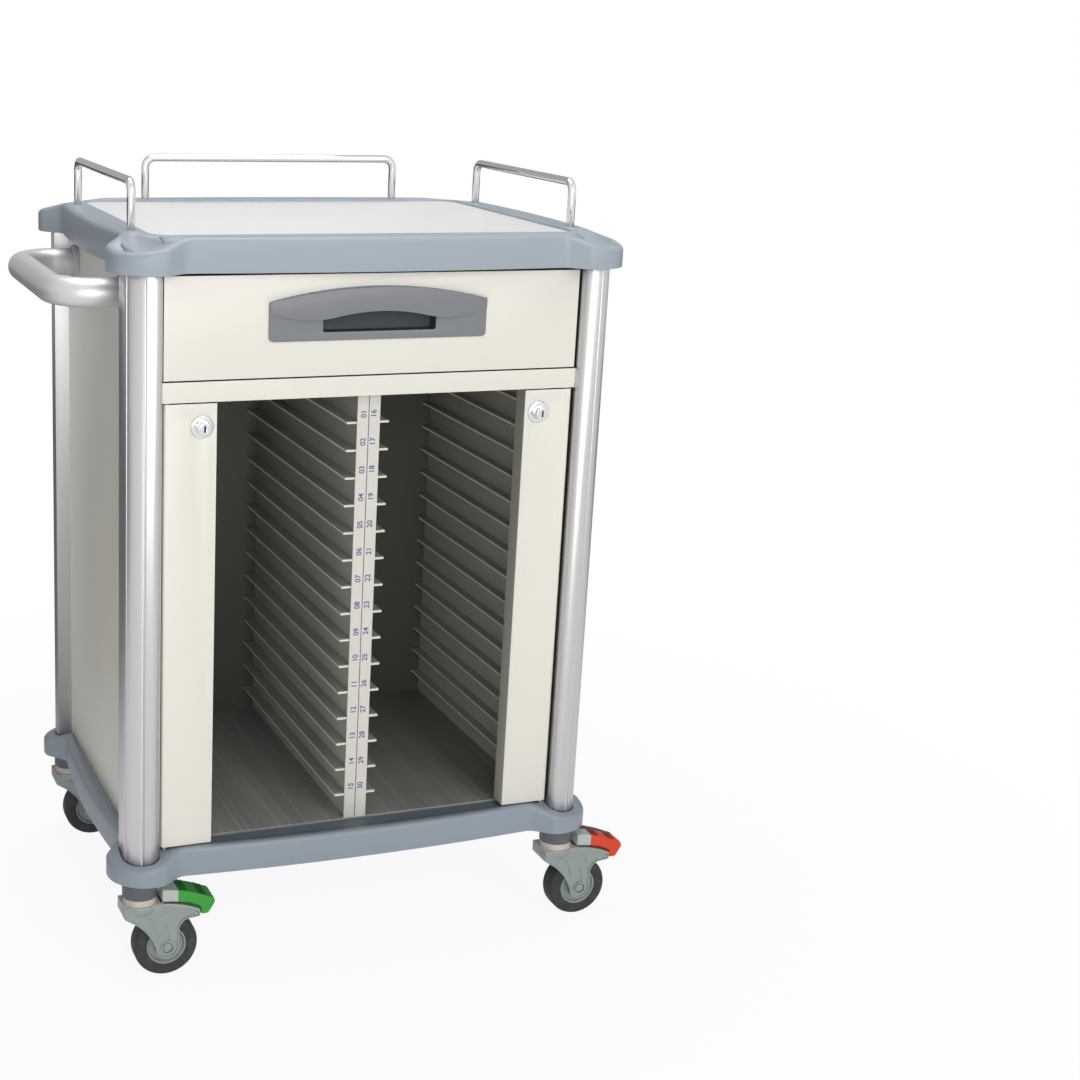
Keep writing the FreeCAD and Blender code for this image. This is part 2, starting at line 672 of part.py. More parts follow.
def post_prism(label, sx, sy, grow, ends):
    """The corner extrusion's section as a prism, grown outwards by a clearance."""
    near_x, near_y = post_flat_x - grow, post_flat_y - grow
    far_x, far_y = post_face_x + grow, post_face_y + grow
    bend, shoulder = size.post_round + grow, size.post_shoulder + grow
    turn = sx * sy
    outline = [
        (near_x * sx, near_y * sy), (far_x * sx, near_y * sy), (far_x * sx, (far_y - bend) * sy, bend, turn),
        ((far_x - bend) * sx, far_y * sy, shoulder, turn), (near_x * sx, (far_y - shoulder) * sy),
    ]
    return pad_body(label, "z", outline, ends)


def socket_tools(label, ends):
    return [post_prism(f"{label}_{corner}_socket", sx, sy, size.socket_clearance, ends)
            for corner, (sx, sy) in CORNERS.items()]


def make_base():
    blank = moulding("base", size.base_bottom, base_top)
    inner_x = lobe_x - size.side_drop - size.lip_width
    inner_y = lobe_y - size.lobe_drop - size.lip_width
    flat_x = stem_x - size.lobe_flat - size.lobe_flank
    flat_y = stem_y - size.lobe_flat - size.lobe_flank
    long_bow = arc_radius(flat_x, size.front_bow)
    short_bow = arc_radius(flat_y, size.side_bow)
    sill = pad_body("base_sill_cut", "z", [
        (-inner_x, -inner_y), (-flat_x, -inner_y, long_bow, 1), (flat_x, -inner_y),
        (inner_x, -inner_y), (inner_x, -flat_y, short_bow, 1), (inner_x, flat_y),
        (inner_x, inner_y), (flat_x, inner_y, long_bow, 1), (-flat_x, inner_y),
        (-inner_x, inner_y), (-inner_x, flat_y, short_bow, 1), (-inner_x, -flat_y),
    ], (sill_top, base_top + 1))
    seat = box("base_back_seat", (-post_flat_x, post_flat_x),
               (back_inner, half_depth + size.socket_clearance), (sill_top, base_top + 1))
    tools = [sill, seat] + socket_tools("base", (post_foot, base_top + 1))
    for corner, (sx, sy) in CORNERS.items():
        tools.append(rod(f"base_{corner}_stem_hole", "z", (stem_x * sx, stem_y * sy),
                         (size.base_bottom - 1, post_foot + 1), stem_hole))
    for side, sx in SIDES.items():
        tools.append(rod(f"base_{side}_hinge_hole", "z", (hinge_x * sx, hinge_y),
                         (sill_top - size.hinge_pin_depth - 1, base_top + 1), pin_hole))
    return node(cut("base_tray", blank, *tools))


def lobe_slot(label, sx, sy, offset):
    """A narrow slot from front to back in a tray lobe's sloped top."""
    half = size.lobe_slot_width / 2
    x = stem_x + offset
    past_crease = size.lobe_crease + (offset + size.lobe_slot_outer) * math.sqrt(0.5)
    surface = tray_top - past_crease * math.tan(math.radians(size.lobe_fall.value))
    return box(label, ((x - half) * sx, (x + half) * sx),
               ((stem_y - size.lobe_slot_inner) * sy, (stem_y + size.lobe_slot_outer) * sy),
               (surface - size.lobe_slot_depth, tray_top + 1))


def make_top():
    blank = moulding("top", size.tray_bottom, tray_top)
    w, d = worktop_half_width, worktop_half_depth
    floor = tray_top - size.worktop_recess - size.worktop_thickness
    corners = [(-w, -d), (w, -d), (w, d), (-w, d)]
    rounds = [(size.worktop_corner, [0, 1, 2, 3])]
    recess = pad_body("top_recess", "z", corners, (floor, tray_top + 1), rounds)
    sockets = socket_tools("top", (size.tray_bottom - 1, post_head))
    slots = [lobe_slot(f"top_{corner}_slot_{number}", sx, sy, offset)
             for corner, (sx, sy) in CORNERS.items()
             for number, offset in enumerate((-size.lobe_slot_spread, size.lobe_slot_spread))]
    node(cut("top_tray", blank, recess, *sockets, *slots))
    node(pad_body("worktop_panel", "z", corners, (floor, floor + size.worktop_thickness), rounds))


# ---------------------------------------------------------------- carcass


def make_posts():
    for corner, (sx, sy) in CORNERS.items():
        end, side = corner.split("_")
        label = f"post_{end}_{side}"
        solid = post_prism(f"{label}_section", sx, sy, Dim.of(0), (post_foot, post_head))
        bore = post_prism(f"{label}_bore", sx, sy, -size.post_wall, (post_foot - 1, post_head + 1))
        flutes = []
        for number, turn in enumerate((-size.flute_spread, size.flute_spread)):
            angle = math.radians(45 + turn.value)
            x = post_face_x - size.post_round * (1 - math.cos(angle))
            y = post_face_y - size.post_round * (1 - math.sin(angle))
            flutes.append(rod(f"{label}_flute_{number}", "z", (x * sx, y * sy),
                              (post_foot - 1, post_head + 1), size.flute_radius))
        node(cut(label, solid, bore, *flutes))


def make_panels():
    for side, sx in SIDES.items():
        node(box(f"side_panel_{side}", (panel_inner * sx, panel_outer * sx),
                 (-post_flat_y, post_flat_y), (sill_top, size.tray_bottom)))
    node(box("back_panel", (-post_flat_x, post_flat_x), (back_inner, half_depth),
             (sill_top, size.tray_bottom)))
    node(box("floor_plate", (-wall_face, wall_face), (floor_front, back_inner),
             (sill_top, floor_top)))
    node(box("drawer_deck", (-post_flat_x, post_flat_x), (front_back, back_inner),
             (deck_bottom, deck_bottom + size.deck_thickness)))
    wall = size.rail_wall
    rail = box("cross_rail_blank", (-post_flat_x, post_flat_x), (-half_depth, front_back),
               (size.rail_bottom, rail_top))
    hollow = box("cross_rail_hollow", (wall - post_flat_x, post_flat_x - wall),
                 (wall - half_depth, front_back - wall), (size.rail_bottom + wall, rail_top - wall))
    mouth = box("cross_rail_mouth", (wall - post_flat_x, post_flat_x - wall),
                (front_back - 2 * wall, front_back + 1),
                (size.strike_height + size.rail_bottom, rail_top - wall))
    holes = [rod(f"cross_rail_{side}_pin_hole", "z", (hinge_x * sx, hinge_y),
                 (size.rail_bottom - 1, size.rail_bottom + wall + 1), pin_hole)
             for side, sx in SIDES.items()]
    node(cut("cross_rail", rail, hollow, mouth, *holes))
    screws = []
    x = post_flat_x - size.screw_margin
    rows = round(size.screw_rows.value)
    column = size.tray_bottom - sill_top - 2 * size.screw_margin
    for number in range(rows):
        z = sill_top + size.screw_margin + column * number / (rows - 1)
        for side, sx in SIDES.items():
            corners = [(0, 0), (size.screw_radius, 0), (size.screw_radius, size.screw_height / 2),
                       (size.screw_radius / 2, size.screw_height), (0, size.screw_height)]
            screws.append(turned_body(f"rear_screw_{side}_{number}", "y", corners,
                                      (x * sx, half_depth, z)))
    node(group("rear_screws", screws))


def make_bays():
    """Runner walls, centre divider, index strip and the chart runners on both."""
    runner_back = back_inner - size.runner_back_gap
    for side, sx in SIDES.items():
        sheet_wall = box(f"runner_wall_{side}_sheet", (wall_face * sx, wall_back * sx),
                         (floor_front, back_inner), (sill_top, deck_bottom))
        strips = []
        for number in range(3):
            y = (number - 1) * (post_flat_y - size.spacer_width)
            strips.append(box(f"runner_wall_{side}_strip_{number}", (wall_back * sx, panel_inner * sx),
                              (y - size.spacer_width / 2, y + size.spacer_width / 2),
                              (sill_top, deck_bottom)))
        node(fuse(f"runner_wall_{side}", sheet_wall, *strips))
    half = size.divider_width / 2
    front = size.divider_setback - half_depth
    node(box("divider_core", (size.divider_sheet - half, half - size.divider_sheet),
             (front, back_inner), (floor_top, deck_bottom)))
    strip_top = size.rail_bottom - size.strip_gap
    node(box("index_strip", (-half, half), (front - size.strip_thickness, front), (floor_top, strip_top)))
    stack = size.rail_bottom - size.runner_drop - size.runner_thickness - size.runner_room - floor_top
    for side, sx in SIDES.items():
        runners = []
        for number in range(int(stack.value / size.runner_pitch.value) + 1):
            top = size.rail_bottom - size.runner_drop - size.runner_pitch * number
            low = top - size.runner_thickness
            runners.append(box(f"wall_runner_{side}_{number}",
                               (wall_face * sx, (wall_face - size.runner_reach) * sx),
                               (floor_front, runner_back), (low, top)))
            runners.append(box(f"divider_runner_{side}_{number}",
                               ((half - size.divider_sheet) * sx, (half + size.runner_reach) * sx),
                               (front, runner_back), (low, top)))
        node(group(f"chart_runners_{side}", runners))


def make_guards():
    bend, radius = size.guard_bend, size.guard_radius
    half, step = worktop_half_depth - size.guard_side_inset, worktop_half_width + size.guard_side_gap
    path = u_path(half, size.guard_height - radius, bend)
    for side, sx in SIDES.items():
        node(rod_body(f"guard_rail_{side}", "YZ_Plane", path, radius, (step * sx, 0, tray_top)))
    half, step = worktop_half_width - size.guard_rear_inset, worktop_half_depth + size.guard_rear_gap
    path = u_path(half, size.guard_height - radius, bend)
    node(rod_body("guard_rail_rear", "XZ_Plane", path, radius, (0, step, tray_top)))


def make_handle():
    half, reach, bend = size.handle_half, size.handle_reach, size.handle_bend
    shoulder = reach - bend
    inner = half - bend
    path = [(0, -half), (-shoulder, -half, bend, -1), (-reach, -inner), (-reach, inner, bend, -1),
            (-shoulder, half), (0, half)]
    node(rod_body("push_handle", "XY_Plane", path, size.handle_radius, (-panel_outer, 0, handle_height)))
    bore = size.handle_radius + size.pin_clearance
    edge = size.collar_edge
    ring = [(bore, 0), (size.collar_radius, 0), (size.collar_radius, edge - size.collar_width),
            (size.collar_radius - edge, -size.collar_width), (bore, -size.collar_width)]
    collars = [turned_body(f"handle_collar_{end}", "x", ring, (-panel_outer, half * sy, handle_height))
               for end, sy in ENDS.items()]
    node(group("handle_collars", collars))


# ---------------------------------------------------------------- drawer


def pull_hood(half, side_top, crown):
    """The pull's hood: bowed forwards, with a lower edge that dips twice and arches over the pocket."""
    low = pull_bottom + size.hood_bottom
    dip, swoop, rise = size.hood_low_half, size.hood_swoop, size.hood_arch
    both = (dip * dip + rise * rise) / (2 * rise)
    turn = swoop / both
    turn_x, turn_z = dip * (1 - turn), low + rise * turn
    past = half - dip
    end_z = low + swoop - (swoop * swoop - past * past).root()
    arch = both - swoop
    front = pad_body("drawer_pull_hood_front", "y", [
        (-half, end_z, swoop, 1), (-turn_x, turn_z, arch, -1), (turn_x, turn_z, swoop, 1),
        (half, end_z), (half, side_top, crown, 1), (-half, side_top),
    ], (-half_depth - size.pull_hood - 1, -half_depth - size.pull_plate))
    seat, tip = -half_depth - size.pull_plate, -half_depth - size.pull_plate - size.hood_end
    bow = arc_radius(half, size.pull_hood - size.pull_plate - size.hood_end)
    plan = pad_body("drawer_pull_hood_plan", "z", [
        (-half, tip, bow, 1), (half, tip), (half, seat), (-half, seat),
    ], (pull_bottom, side_top + size.pull_crown))
    return common("drawer_pull_hood", front, plan)


def make_drawer():
    face_top = size.tray_bottom - size.tray_gap
    half_pocket = size.pocket_width / 2
    pocket_low = pull_bottom + size.pocket_bottom
    pocket_end = pocket_low + size.pocket_end_height
    pocket_high = pocket_end + size.pocket_arch
    pocket_back = size.pocket_depth - half_depth
    skin, gap = size.pocket_skin, size.pocket_skin + size.pocket_gap
    face = box("drawer_front_board", (-half_width, half_width), (-half_depth, front_back),
               (face_bottom, face_top))
    mouth = box("drawer_front_mouth", (-half_pocket - gap, half_pocket + gap),
                (-half_depth - 1, pocket_back + gap), (pocket_low - gap, pocket_high + gap))
    node(cut("drawer_front", face, mouth))

    wall = size.drawer_wall
    outer = box("drawer_box_blank", (-drawer_half, drawer_half), (front_back, drawer_back),
                (drawer_bottom, drawer_top))
    inner = box("drawer_box_room", (wall - drawer_half, drawer_half - wall),
                (front_back + wall, drawer_back - wall),
                (drawer_bottom + wall, drawer_top + 1))
    node(cut("drawer_box", outer, inner))

    half = size.pull_width / 2
    side_top = pull_bottom + size.pull_side_height
    crown = arc_radius(half, size.pull_crown)
    plate = pad_body("drawer_pull_plate", "y", [
        (-half, pull_bottom), (half, pull_bottom), (half, side_top, crown, 1), (-half, side_top),
    ], (-half_depth - size.pull_plate, -half_depth), [(size.pull_corner, [0, 1])])
    cup = box("drawer_pull_cup", (-half_pocket - skin, half_pocket + skin), (-half_depth, pocket_back + skin),
              (pocket_low - skin, pocket_high + skin))
    room = pad_body("drawer_pull_room", "y", [
        (-half_pocket, pocket_low), (half_pocket, pocket_low),
        (half_pocket, pocket_end, arc_radius(half_pocket, size.pocket_arch), 1), (-half_pocket, pocket_end),
    ], (-half_depth - size.pull_hood - 1, pocket_back), [(size.pocket_corner, [0, 1])])
    shell = cut("drawer_pull_shell", fuse("drawer_pull_solid", plate, cup), room)
    node(fuse("drawer_pull", shell, pull_hood(half, side_top, crown)))

    rails, channels = [], []
    mid = (drawer_bottom + drawer_top) / 2
    high = size.slide_height / 2
    sheet_gauge, play = size.slide_wall, size.slide_play
    for side, sx in SIDES.items():
        block = box(f"slide_channel_{side}_blank", ((drawer_half + play) * sx, panel_inner * sx),
                    (-slide_half, slide_half), (mid - high, mid + high))
        hollow = box(f"slide_channel_{side}_hollow",
                     ((drawer_half - 1) * sx, (panel_inner - sheet_gauge) * sx),
                     (-slide_half - 1, slide_half + 1),
                     (mid - high + sheet_gauge, mid + high - sheet_gauge))
        channels.append(cut(f"slide_channel_{side}", block, hollow))
        rails.append(box(f"slide_rail_{side}", (drawer_half * sx, (post_flat_x - 1) * sx),
                         (front_back, slide_half),
                         (mid - high + sheet_gauge + play, mid + high - sheet_gauge - play)))
    node(group("slide_channels", channels))
    node(group("slide_rails", rails))


# ---------------------------------------------------------------- locking bars


def make_bars():
    for side, sx in SIDES.items():
        make_bar(side, sx)
        make_lock(side, sx)


def make_bar(side, sx):
    gauge, inset = size.bar_sheet, size.hinge_inset
    face, free = -half_depth, half_width - size.bar_width
    outer = half_width * sx
    heel = hinge_y + gauge
    turn = -1 if sx > 0 else 1
    skin = [
        (outer, heel), (outer, hinge_y, inset, turn), (hinge_x * sx, face), (free * sx, face),
        (free * sx, face + size.bar_return), ((free + gauge) * sx, face + size.bar_return),
        ((free + gauge) * sx, face + gauge), (hinge_x * sx, face + gauge, inset - gauge, -turn),
        (outer - gauge * sx, hinge_y), (outer - gauge * sx, heel),
    ]
    ends = (bar_bottom, bar_top)
    shell = pad_body(f"locking_bar_{side}_skin", "z", skin, ends)
    cap_y = (face + gauge, face + size.bar_cap)
    cap_x = ((free + gauge) * sx, (hinge_x + gauge) * sx)
    caps = [box(f"locking_bar_{side}_top_cap", cap_x, cap_y, (bar_top - gauge, bar_top)),
            box(f"locking_bar_{side}_foot_cap", cap_x, cap_y, (bar_bottom, bar_bottom + gauge))]
    body = fuse(f"locking_bar_{side}_shell", shell, *caps)
    pin = rod(f"locking_bar_{side}_pin_hole", "z", (hinge_x * sx, hinge_y),
              (bar_bottom - 1, bar_top + 1), size.hinge_pin_radius)
    lock = rod(f"locking_bar_{side}_lock_hole", "y", (lock_x * sx, lock_height),
               (face - 1, face + gauge + 1), size.lock_barrel_radius + size.pin_clearance)
    node(cut(f"locking_bar_{side}", body, pin, lock))
    foot = rod(f"hinge_pin_{side}_foot", "z", (hinge_x * sx, hinge_y),
               (sill_top - size.hinge_pin_depth, bar_bottom + size.pin_grip), size.hinge_pin_radius)
    head = rod(f"hinge_pin_{side}_head", "z", (hinge_x * sx, hinge_y),
               (bar_top - size.pin_grip, size.rail_bottom + size.rail_wall), size.hinge_pin_radius)
    node(group(f"hinge_pins_{side}", [foot, head]))


def make_lock(side, sx):
    flange = size.lock_flange_width
    bore = size.lock_core_radius + size.pin_clearance
    back = size.bar_sheet + size.lock_barrel_depth
    centre = (lock_x * sx, -half_depth, lock_height)
    node(turned_body(f"lock_barrel_{side}", "y", [
        (bore, -flange), (size.lock_flange_radius - flange / 2, -flange),
        (size.lock_flange_radius, -flange / 2), (size.lock_flange_radius, 0),
        (size.lock_barrel_radius, 0), (size.lock_barrel_radius, back), (bore, back),
    ], centre))
    knob_back = -flange - size.swivel_gap
    knob_face = knob_back - size.lock_knob_reach
    cam_front = size.cam_setback
    knob = turned_body(f"lock_plug_{side}_knob", "y", [
        (0, knob_face), (size.lock_plug_radius - 1, knob_face), (size.lock_plug_radius, knob_face + 1),
        (size.lock_plug_radius, knob_back), (size.lock_core_radius, knob_back),
        (size.lock_core_radius, cam_front), (0, cam_front),
    ], centre)
    slot = size.key_slot / 2
    key = box(f"lock_plug_{side}_slot", (lock_x * sx - slot / 4, lock_x * sx + slot / 4),
              (knob_face - half_depth - 1, knob_face - half_depth + slot),
              (lock_height - slot, lock_height + slot))
    node(cut(f"lock_plug_{side}", knob, key))
    half = size.cam_width / 2
    middle, low, high = lock_height, lock_height - half, lock_height + half
    bend = lock_x + size.cam_length - half
    node(pad_body(f"lock_cam_{side}", "y", [
        (lock_x * sx, low), (bend * sx, low, half, sx), ((bend + half) * sx, middle, half, sx),
        (bend * sx, high), (lock_x * sx, high, half, sx), ((lock_x - half) * sx, middle, half, sx),
    ], (cam_front - half_depth, cam_front - half_depth + size.cam_thickness)))


# ---------------------------------------------------------------- casters


def make_casters():
    stems = []
    for corner, (sx, sy) in CORNERS.items():
        x, y = stem_x * sx, stem_y * sy
        stems.append(make_stem(corner, x, y))
        make_fork(corner, x, y, braked=sy < 0)
        make_wheel(corner, x + size.caster_trail, y)
        if sy < 0:
            make_pedal(corner, x, y)
    node(group("caster_stems", stems))


def make_stem(corner, x, y):
    """A stem with its collar under the base and the head that carries the fork crown."""
    low = fork_top + size.swivel_gap
    under_crown = crown_bottom - size.swivel_gap
    head = size.stem_radius + size.stem_head
    head_low = under_crown - size.stem_head_height
    top = size.base_bottom + size.stem_rise
    return turned_body(f"caster_stem_{corner}", "z", [
        (0, head_low), (head, head_low), (head, under_crown), (size.stem_radius, under_crown),
        (size.stem_radius, low), (size.collar_stem_radius, low), (size.collar_stem_radius, size.base_bottom),
        (size.stem_radius, size.base_bottom), (size.stem_radius, top), (0, top),
    ], (x, y, 0))


def make_fork(corner, x, y, braked):
    """The caster's casting: a crown with its bearing cover, two ribbed cheeks and a wheel arch."""
    label = f"caster_fork_{corner}"
    wheel = size.wheel_radius
    axle_x, pivot_x = x + size.caster_trail, x + size.pedal_pivot_step
    tail = pivot_x + size.fork_tail
    near, far = y - fork_half, y + fork_half
    body = pad_body(f"{label}_cheeks", "y", cheek_outline(x, Dim.of(0)), (near, far))
    crown, ring, bend = size.fork_crown_radius, size.fork_ring_radius, size.crown_round
    head = turned_body(f"{label}_crown", "z", [
        (0, crown_bottom), (fork_half, crown_bottom), (crown, crown_bottom + size.crown_flare),
        (crown, crown_top - bend, bend, 1), (crown - bend, crown_top), (ring, crown_top), (ring, fork_top),
        (0, fork_top),
    ], (x, y, 0))
    relief = size.fork_relief
    panels = [pad_body(f"{label}_panel_{number}", "y", cheek_outline(x, size.fork_rim), ends)
              for number, ends in enumerate([(near - 1, near + relief), (far - relief, far + 1)])]
    cast = cut(f"{label}_cast", fuse(f"{label}_solid", body, head), *panels)
    boss = rod(f"{label}_boss", "y", (axle_x, wheel), (near, far), size.axle_boss_radius)
    ribbed = fuse(f"{label}_ribbed", cast, boss, *cheek_ribs(label, x, (near, far)))

    room = fork_half - size.fork_cheek
    arch = rod(f"{label}_arch", "y", (axle_x, wheel), (y - room, y + room), wheel_arch)
    below = box(f"{label}_below", (axle_x - wheel_arch, axle_x + wheel_arch), (y - room, y + room),
                (wheel - wheel_arch, wheel))
    slot_half = size.pedal_web / 2 + size.pedal_web_play
    slot = box(f"{label}_slot", (x + crown, tail + 1), (y - slot_half, y + slot_half), (wheel, fork_top + 1))
    stem = rod(f"{label}_stem_hole", "z", (x, y), (wheel, fork_top + 1), stem_hole)
    cup = rod(f"{label}_cup", "z", (x, y), (wheel, crown_bottom),
              size.stem_radius + size.stem_head + size.stem_head_gap)
    through = (near - 1, far + 1)
    axle = rod(f"{label}_axle_hole", "y", (axle_x, wheel), through, size.axle_radius)
    pockets = [rod(f"{label}_axle_pocket_{number}", "y", (axle_x, wheel), ends, size.axle_pocket_radius)
               for number, ends in enumerate([(near - 1, near + size.axle_pocket),
                                              (far - size.axle_pocket, far + 1)])]
    tools = [arch, below, slot, stem, cup, axle, *pockets]
    if braked:
        tools.append(rod(f"{label}_pivot_hole", "y", (pivot_x, pedal_pivot_height), through,
                         size.pedal_pin_radius + size.pin_clearance))
    node(cut(label, ribbed, *tools))


def cheek_outline(x, inset):
    """A fork cheek from the side. An inset gives the panel within its rim, below the crown."""
    axle_x, wheel = x + size.caster_trail, size.wheel_radius
    end, bend = size.fork_end_radius - inset, size.fork_end_radius
    front = x - size.fork_crown_radius + size.fork_heel_step + inset
    neck = wheel + size.fork_neck
    tail = x + size.pedal_pivot_step + size.fork_tail - inset
    low = pedal_pivot_height - size.fork_tail_low + inset
    high = pedal_pivot_height + size.fork_tail_high - inset
    heel_top = crown_bottom - size.fork_heel_drop
    lower = [
        (front, heel_top, size.fork_heel, -1), (axle_x - end, wheel, end, 1), (axle_x, wheel - end, end, 1),
        (axle_x + end, wheel), (axle_x + end, neck, bend + inset, -1),
        (axle_x + 2 * bend, neck + bend + inset), (tail, low), (tail, high, size.fork_back, 1),
    ]
    if inset.value:
        step, below = x + size.fork_crown_radius + inset, crown_bottom - inset
        return lower + [(step, crown_top - 2 * inset), (step, below), (front, below)]
    crown = size.fork_crown_radius
    return lower + [(x + crown, crown_top), (x - crown, crown_top), (x - crown, crown_bottom + inset)]


def cheek_ribs(label, x, ends):
    """Two curved ribs down each cheek and one from the crown to the throat."""
    wide, sweep = size.fork_rib, size.rib_sweep
    axle_x, wheel, end = x + size.caster_trail, size.wheel_radius, size.fork_end_radius
    neck = wheel + size.fork_neck
    top = crown_bottom - size.fork_rim
    runs = [
        ((x + end / 2, top - wide), (axle_x - end, neck)),
        ((axle_x - wide, neck + end / 2), (axle_x + wide, wheel + size.axle_boss_radius)),
        ((x + size.fork_crown_radius - wide, crown_top - 2 * wide), (axle_x + end / 2 + wide, neck + end)),
    ]
    ribs = []
    for number, ((start_x, start_z), (end_x, end_z)) in enumerate(runs):
        ribs.append(pad_body(f"{label}_rib_{number}", "y", [
            (start_x, start_z, sweep, -1), (end_x, end_z),
            (end_x + wide, end_z, sweep, 1), (start_x + wide, start_z),
        ], ends))
    return ribs


def make_wheel(corner, x, y):
    centre = (x, y, size.wheel_radius)
    bore = size.axle_radius + size.pin_clearance
    half, hub_half = size.wheel_width / 2, size.hub_width / 2
    rim, boss, draft = size.hub_radius, size.hub_boss, size.hub_draft
    lip, web = rim - size.hub_rim, hub_half - size.hub_dish
    node(turned_body(f"caster_hub_{corner}", "y", [
        (bore, -hub_half), (boss, -hub_half), (boss + draft, -web), (lip - draft, -web),
        (lip, -hub_half), (rim, -hub_half), (rim, hub_half), (lip, hub_half),
        (lip - draft, web), (boss + draft, web), (boss, hub_half), (bore, hub_half),
    ], centre))
    seat, top, bend = rim, size.wheel_radius, size.tyre_shoulder
    node(turned_body(f"caster_tyre_{corner}", "y", [
        (seat, -half), (top - bend, -half, bend, 1), (top, bend - half), (top, half - bend, bend, 1),
        (top - bend, half), (seat, half),
    ], centre))
    inner = fork_half - size.axle_pocket
    shaft = rod(f"caster_axle_{corner}_shaft", "y", (x, size.wheel_radius), (y - inner, y + inner),
                size.axle_radius)
    heads = []
    for end, sy in ENDS.items():
        hexagon = [(x + size.axle_hex * math.cos(math.radians(turn)),
                    size.wheel_radius + size.axle_hex * math.sin(math.radians(turn)))
                   for turn in range(0, 360, 60)]
        heads.append(pad_body(f"caster_axle_{corner}_{end}_head", "y", hexagon,
                              (y + inner * sy, y + (inner + size.axle_head) * sy)))
    node(fuse(f"caster_axle_{corner}", shaft, *heads))


def make_pedal(corner, x, y):
    """A rocking brake pedal: an arm and pad over the fork's tail, on a web between the cheeks."""
    px, pz = x + size.pedal_pivot_step, pedal_pivot_height
    gap, arm = size.pedal_gap, size.pedal_arm
    heel_x, heel_z = x + size.fork_crown_radius + gap, crown_top + gap
    lip_x = px + size.fork_tail + gap
    under_z = pz + size.fork_tail_high + gap
    nose_x, nose_z = px + size.pedal_nose_step, pz + size.pedal_nose_rise
    bend = size.pedal_nose_round
    lip_z = pz - size.pedal_lip
    profile = [
        (heel_x, heel_z), (heel_x, heel_z + arm, size.pedal_back, -1),
        (nose_x - bend, nose_z + size.pedal_nose_slope, bend, -1), (nose_x, nose_z),
        (lip_x + size.pedal_lip_depth, lip_z), (lip_x, lip_z), (lip_x, under_z, size.fork_back, 1),
    ]
    half, web = size.pedal_width / 2, size.pedal_web / 2
    pad = pad_body(f"brake_pedal_{corner}_pad", "y", profile, (y - half, y + half))
    foot, length = pz - size.pedal_web_foot, size.pedal_web_length
    inside = under_z + gap
    rib = pad_body(f"brake_pedal_{corner}_web", "y", [
        (px - size.fork_tail, foot), (px + size.fork_tail, foot), (lip_x, pz), (lip_x, inside),
        (lip_x - length, inside + arm / 2), (lip_x - length, inside),
    ], (y - web, y + web))
    pin = rod(f"brake_pedal_{corner}_pin", "y", (px, pz), (y - fork_half, y + fork_half),
              size.pedal_pin_radius)
    node(fuse(f"brake_pedal_{corner}", pad, rib, pin))


make_base()
make_top()
make_posts()
make_panels()
make_bays()
make_guards()
make_handle()
make_drawer()
make_bars()
make_casters()

doc.recompute()
for item in doc.Objects:
    if "Invalid" in item.State or "Error" in item.State:
        raise ValueError(f"{item.Label} failed: {item.State}")
os.makedirs("parts", exist_ok=True)
for item in nodes:
    if item.Shape.isNull() or not item.Shape.isValid():
        raise ValueError(f"{item.Label} has no valid shape")
    item.Shape.exportStep(f"parts/{item.Label}.step")
print(len(nodes), "sub-parts written")
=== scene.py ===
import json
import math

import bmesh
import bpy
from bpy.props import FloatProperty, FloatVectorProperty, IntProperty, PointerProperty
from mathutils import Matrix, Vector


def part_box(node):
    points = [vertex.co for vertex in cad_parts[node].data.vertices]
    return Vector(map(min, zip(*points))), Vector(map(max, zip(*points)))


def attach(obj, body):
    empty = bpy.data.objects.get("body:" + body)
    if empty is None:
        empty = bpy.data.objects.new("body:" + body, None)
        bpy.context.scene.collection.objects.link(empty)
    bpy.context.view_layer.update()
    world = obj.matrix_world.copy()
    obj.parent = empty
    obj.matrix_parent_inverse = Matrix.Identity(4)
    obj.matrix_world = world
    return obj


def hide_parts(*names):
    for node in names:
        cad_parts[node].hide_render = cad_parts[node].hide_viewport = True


bl_info = {
    "name": "Ward chart rack",
    "version": (1, 0, 0),
    "blender": (4, 5, 0),
    "location": "3D View > Sidebar > Chart Rack",
    "description": "Gives a ward trolley for hanging charts its finishes and small parts",
    "category": "Object",
}

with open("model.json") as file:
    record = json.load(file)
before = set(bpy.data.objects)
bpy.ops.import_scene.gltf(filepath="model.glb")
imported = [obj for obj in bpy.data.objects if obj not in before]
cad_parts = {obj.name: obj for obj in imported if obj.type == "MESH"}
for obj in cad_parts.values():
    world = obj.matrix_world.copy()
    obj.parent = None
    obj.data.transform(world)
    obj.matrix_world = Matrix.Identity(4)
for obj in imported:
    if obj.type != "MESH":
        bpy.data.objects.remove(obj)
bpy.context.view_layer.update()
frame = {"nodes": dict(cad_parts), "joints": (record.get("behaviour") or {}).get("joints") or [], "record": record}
RECORD = frame["record"]
BODY_OF = {node: body for body, nodes in RECORD["behaviour"]["bodies"].items() for node in nodes}
SLOT_OF = {row["node"]: row["material_slot"] for row in RECORD["subparts"]}
STEM_OF = {joint["child"].removeprefix("fork_"): Vector(joint["pos_m"])
           for joint in frame["joints"] if joint["name"].endswith("_swivel")}
TRAY_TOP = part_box("top_tray")[1].z
SIDES = {"left": -1, "right": 1}
CORNERS = ("front_left", "front_right", "rear_left", "rear_right")
AXES = {"x": Vector((1, 0, 0)), "y": Vector((0, 1, 0)), "z": Vector((0, 0, 1))}
MM = 0.001

# How far a face's normal has to run along an axis for the face to count as square to it.
SQUARE = 0.9
LEVEL = 0.99

# Rounding of edges: those that turn by more than an angle, in degrees, are rounded.
BEVEL_SEGMENTS = 2
BEVEL_ANGLE = 28
PULL_ANGLE = 35
RAIL_ANGLE = 40

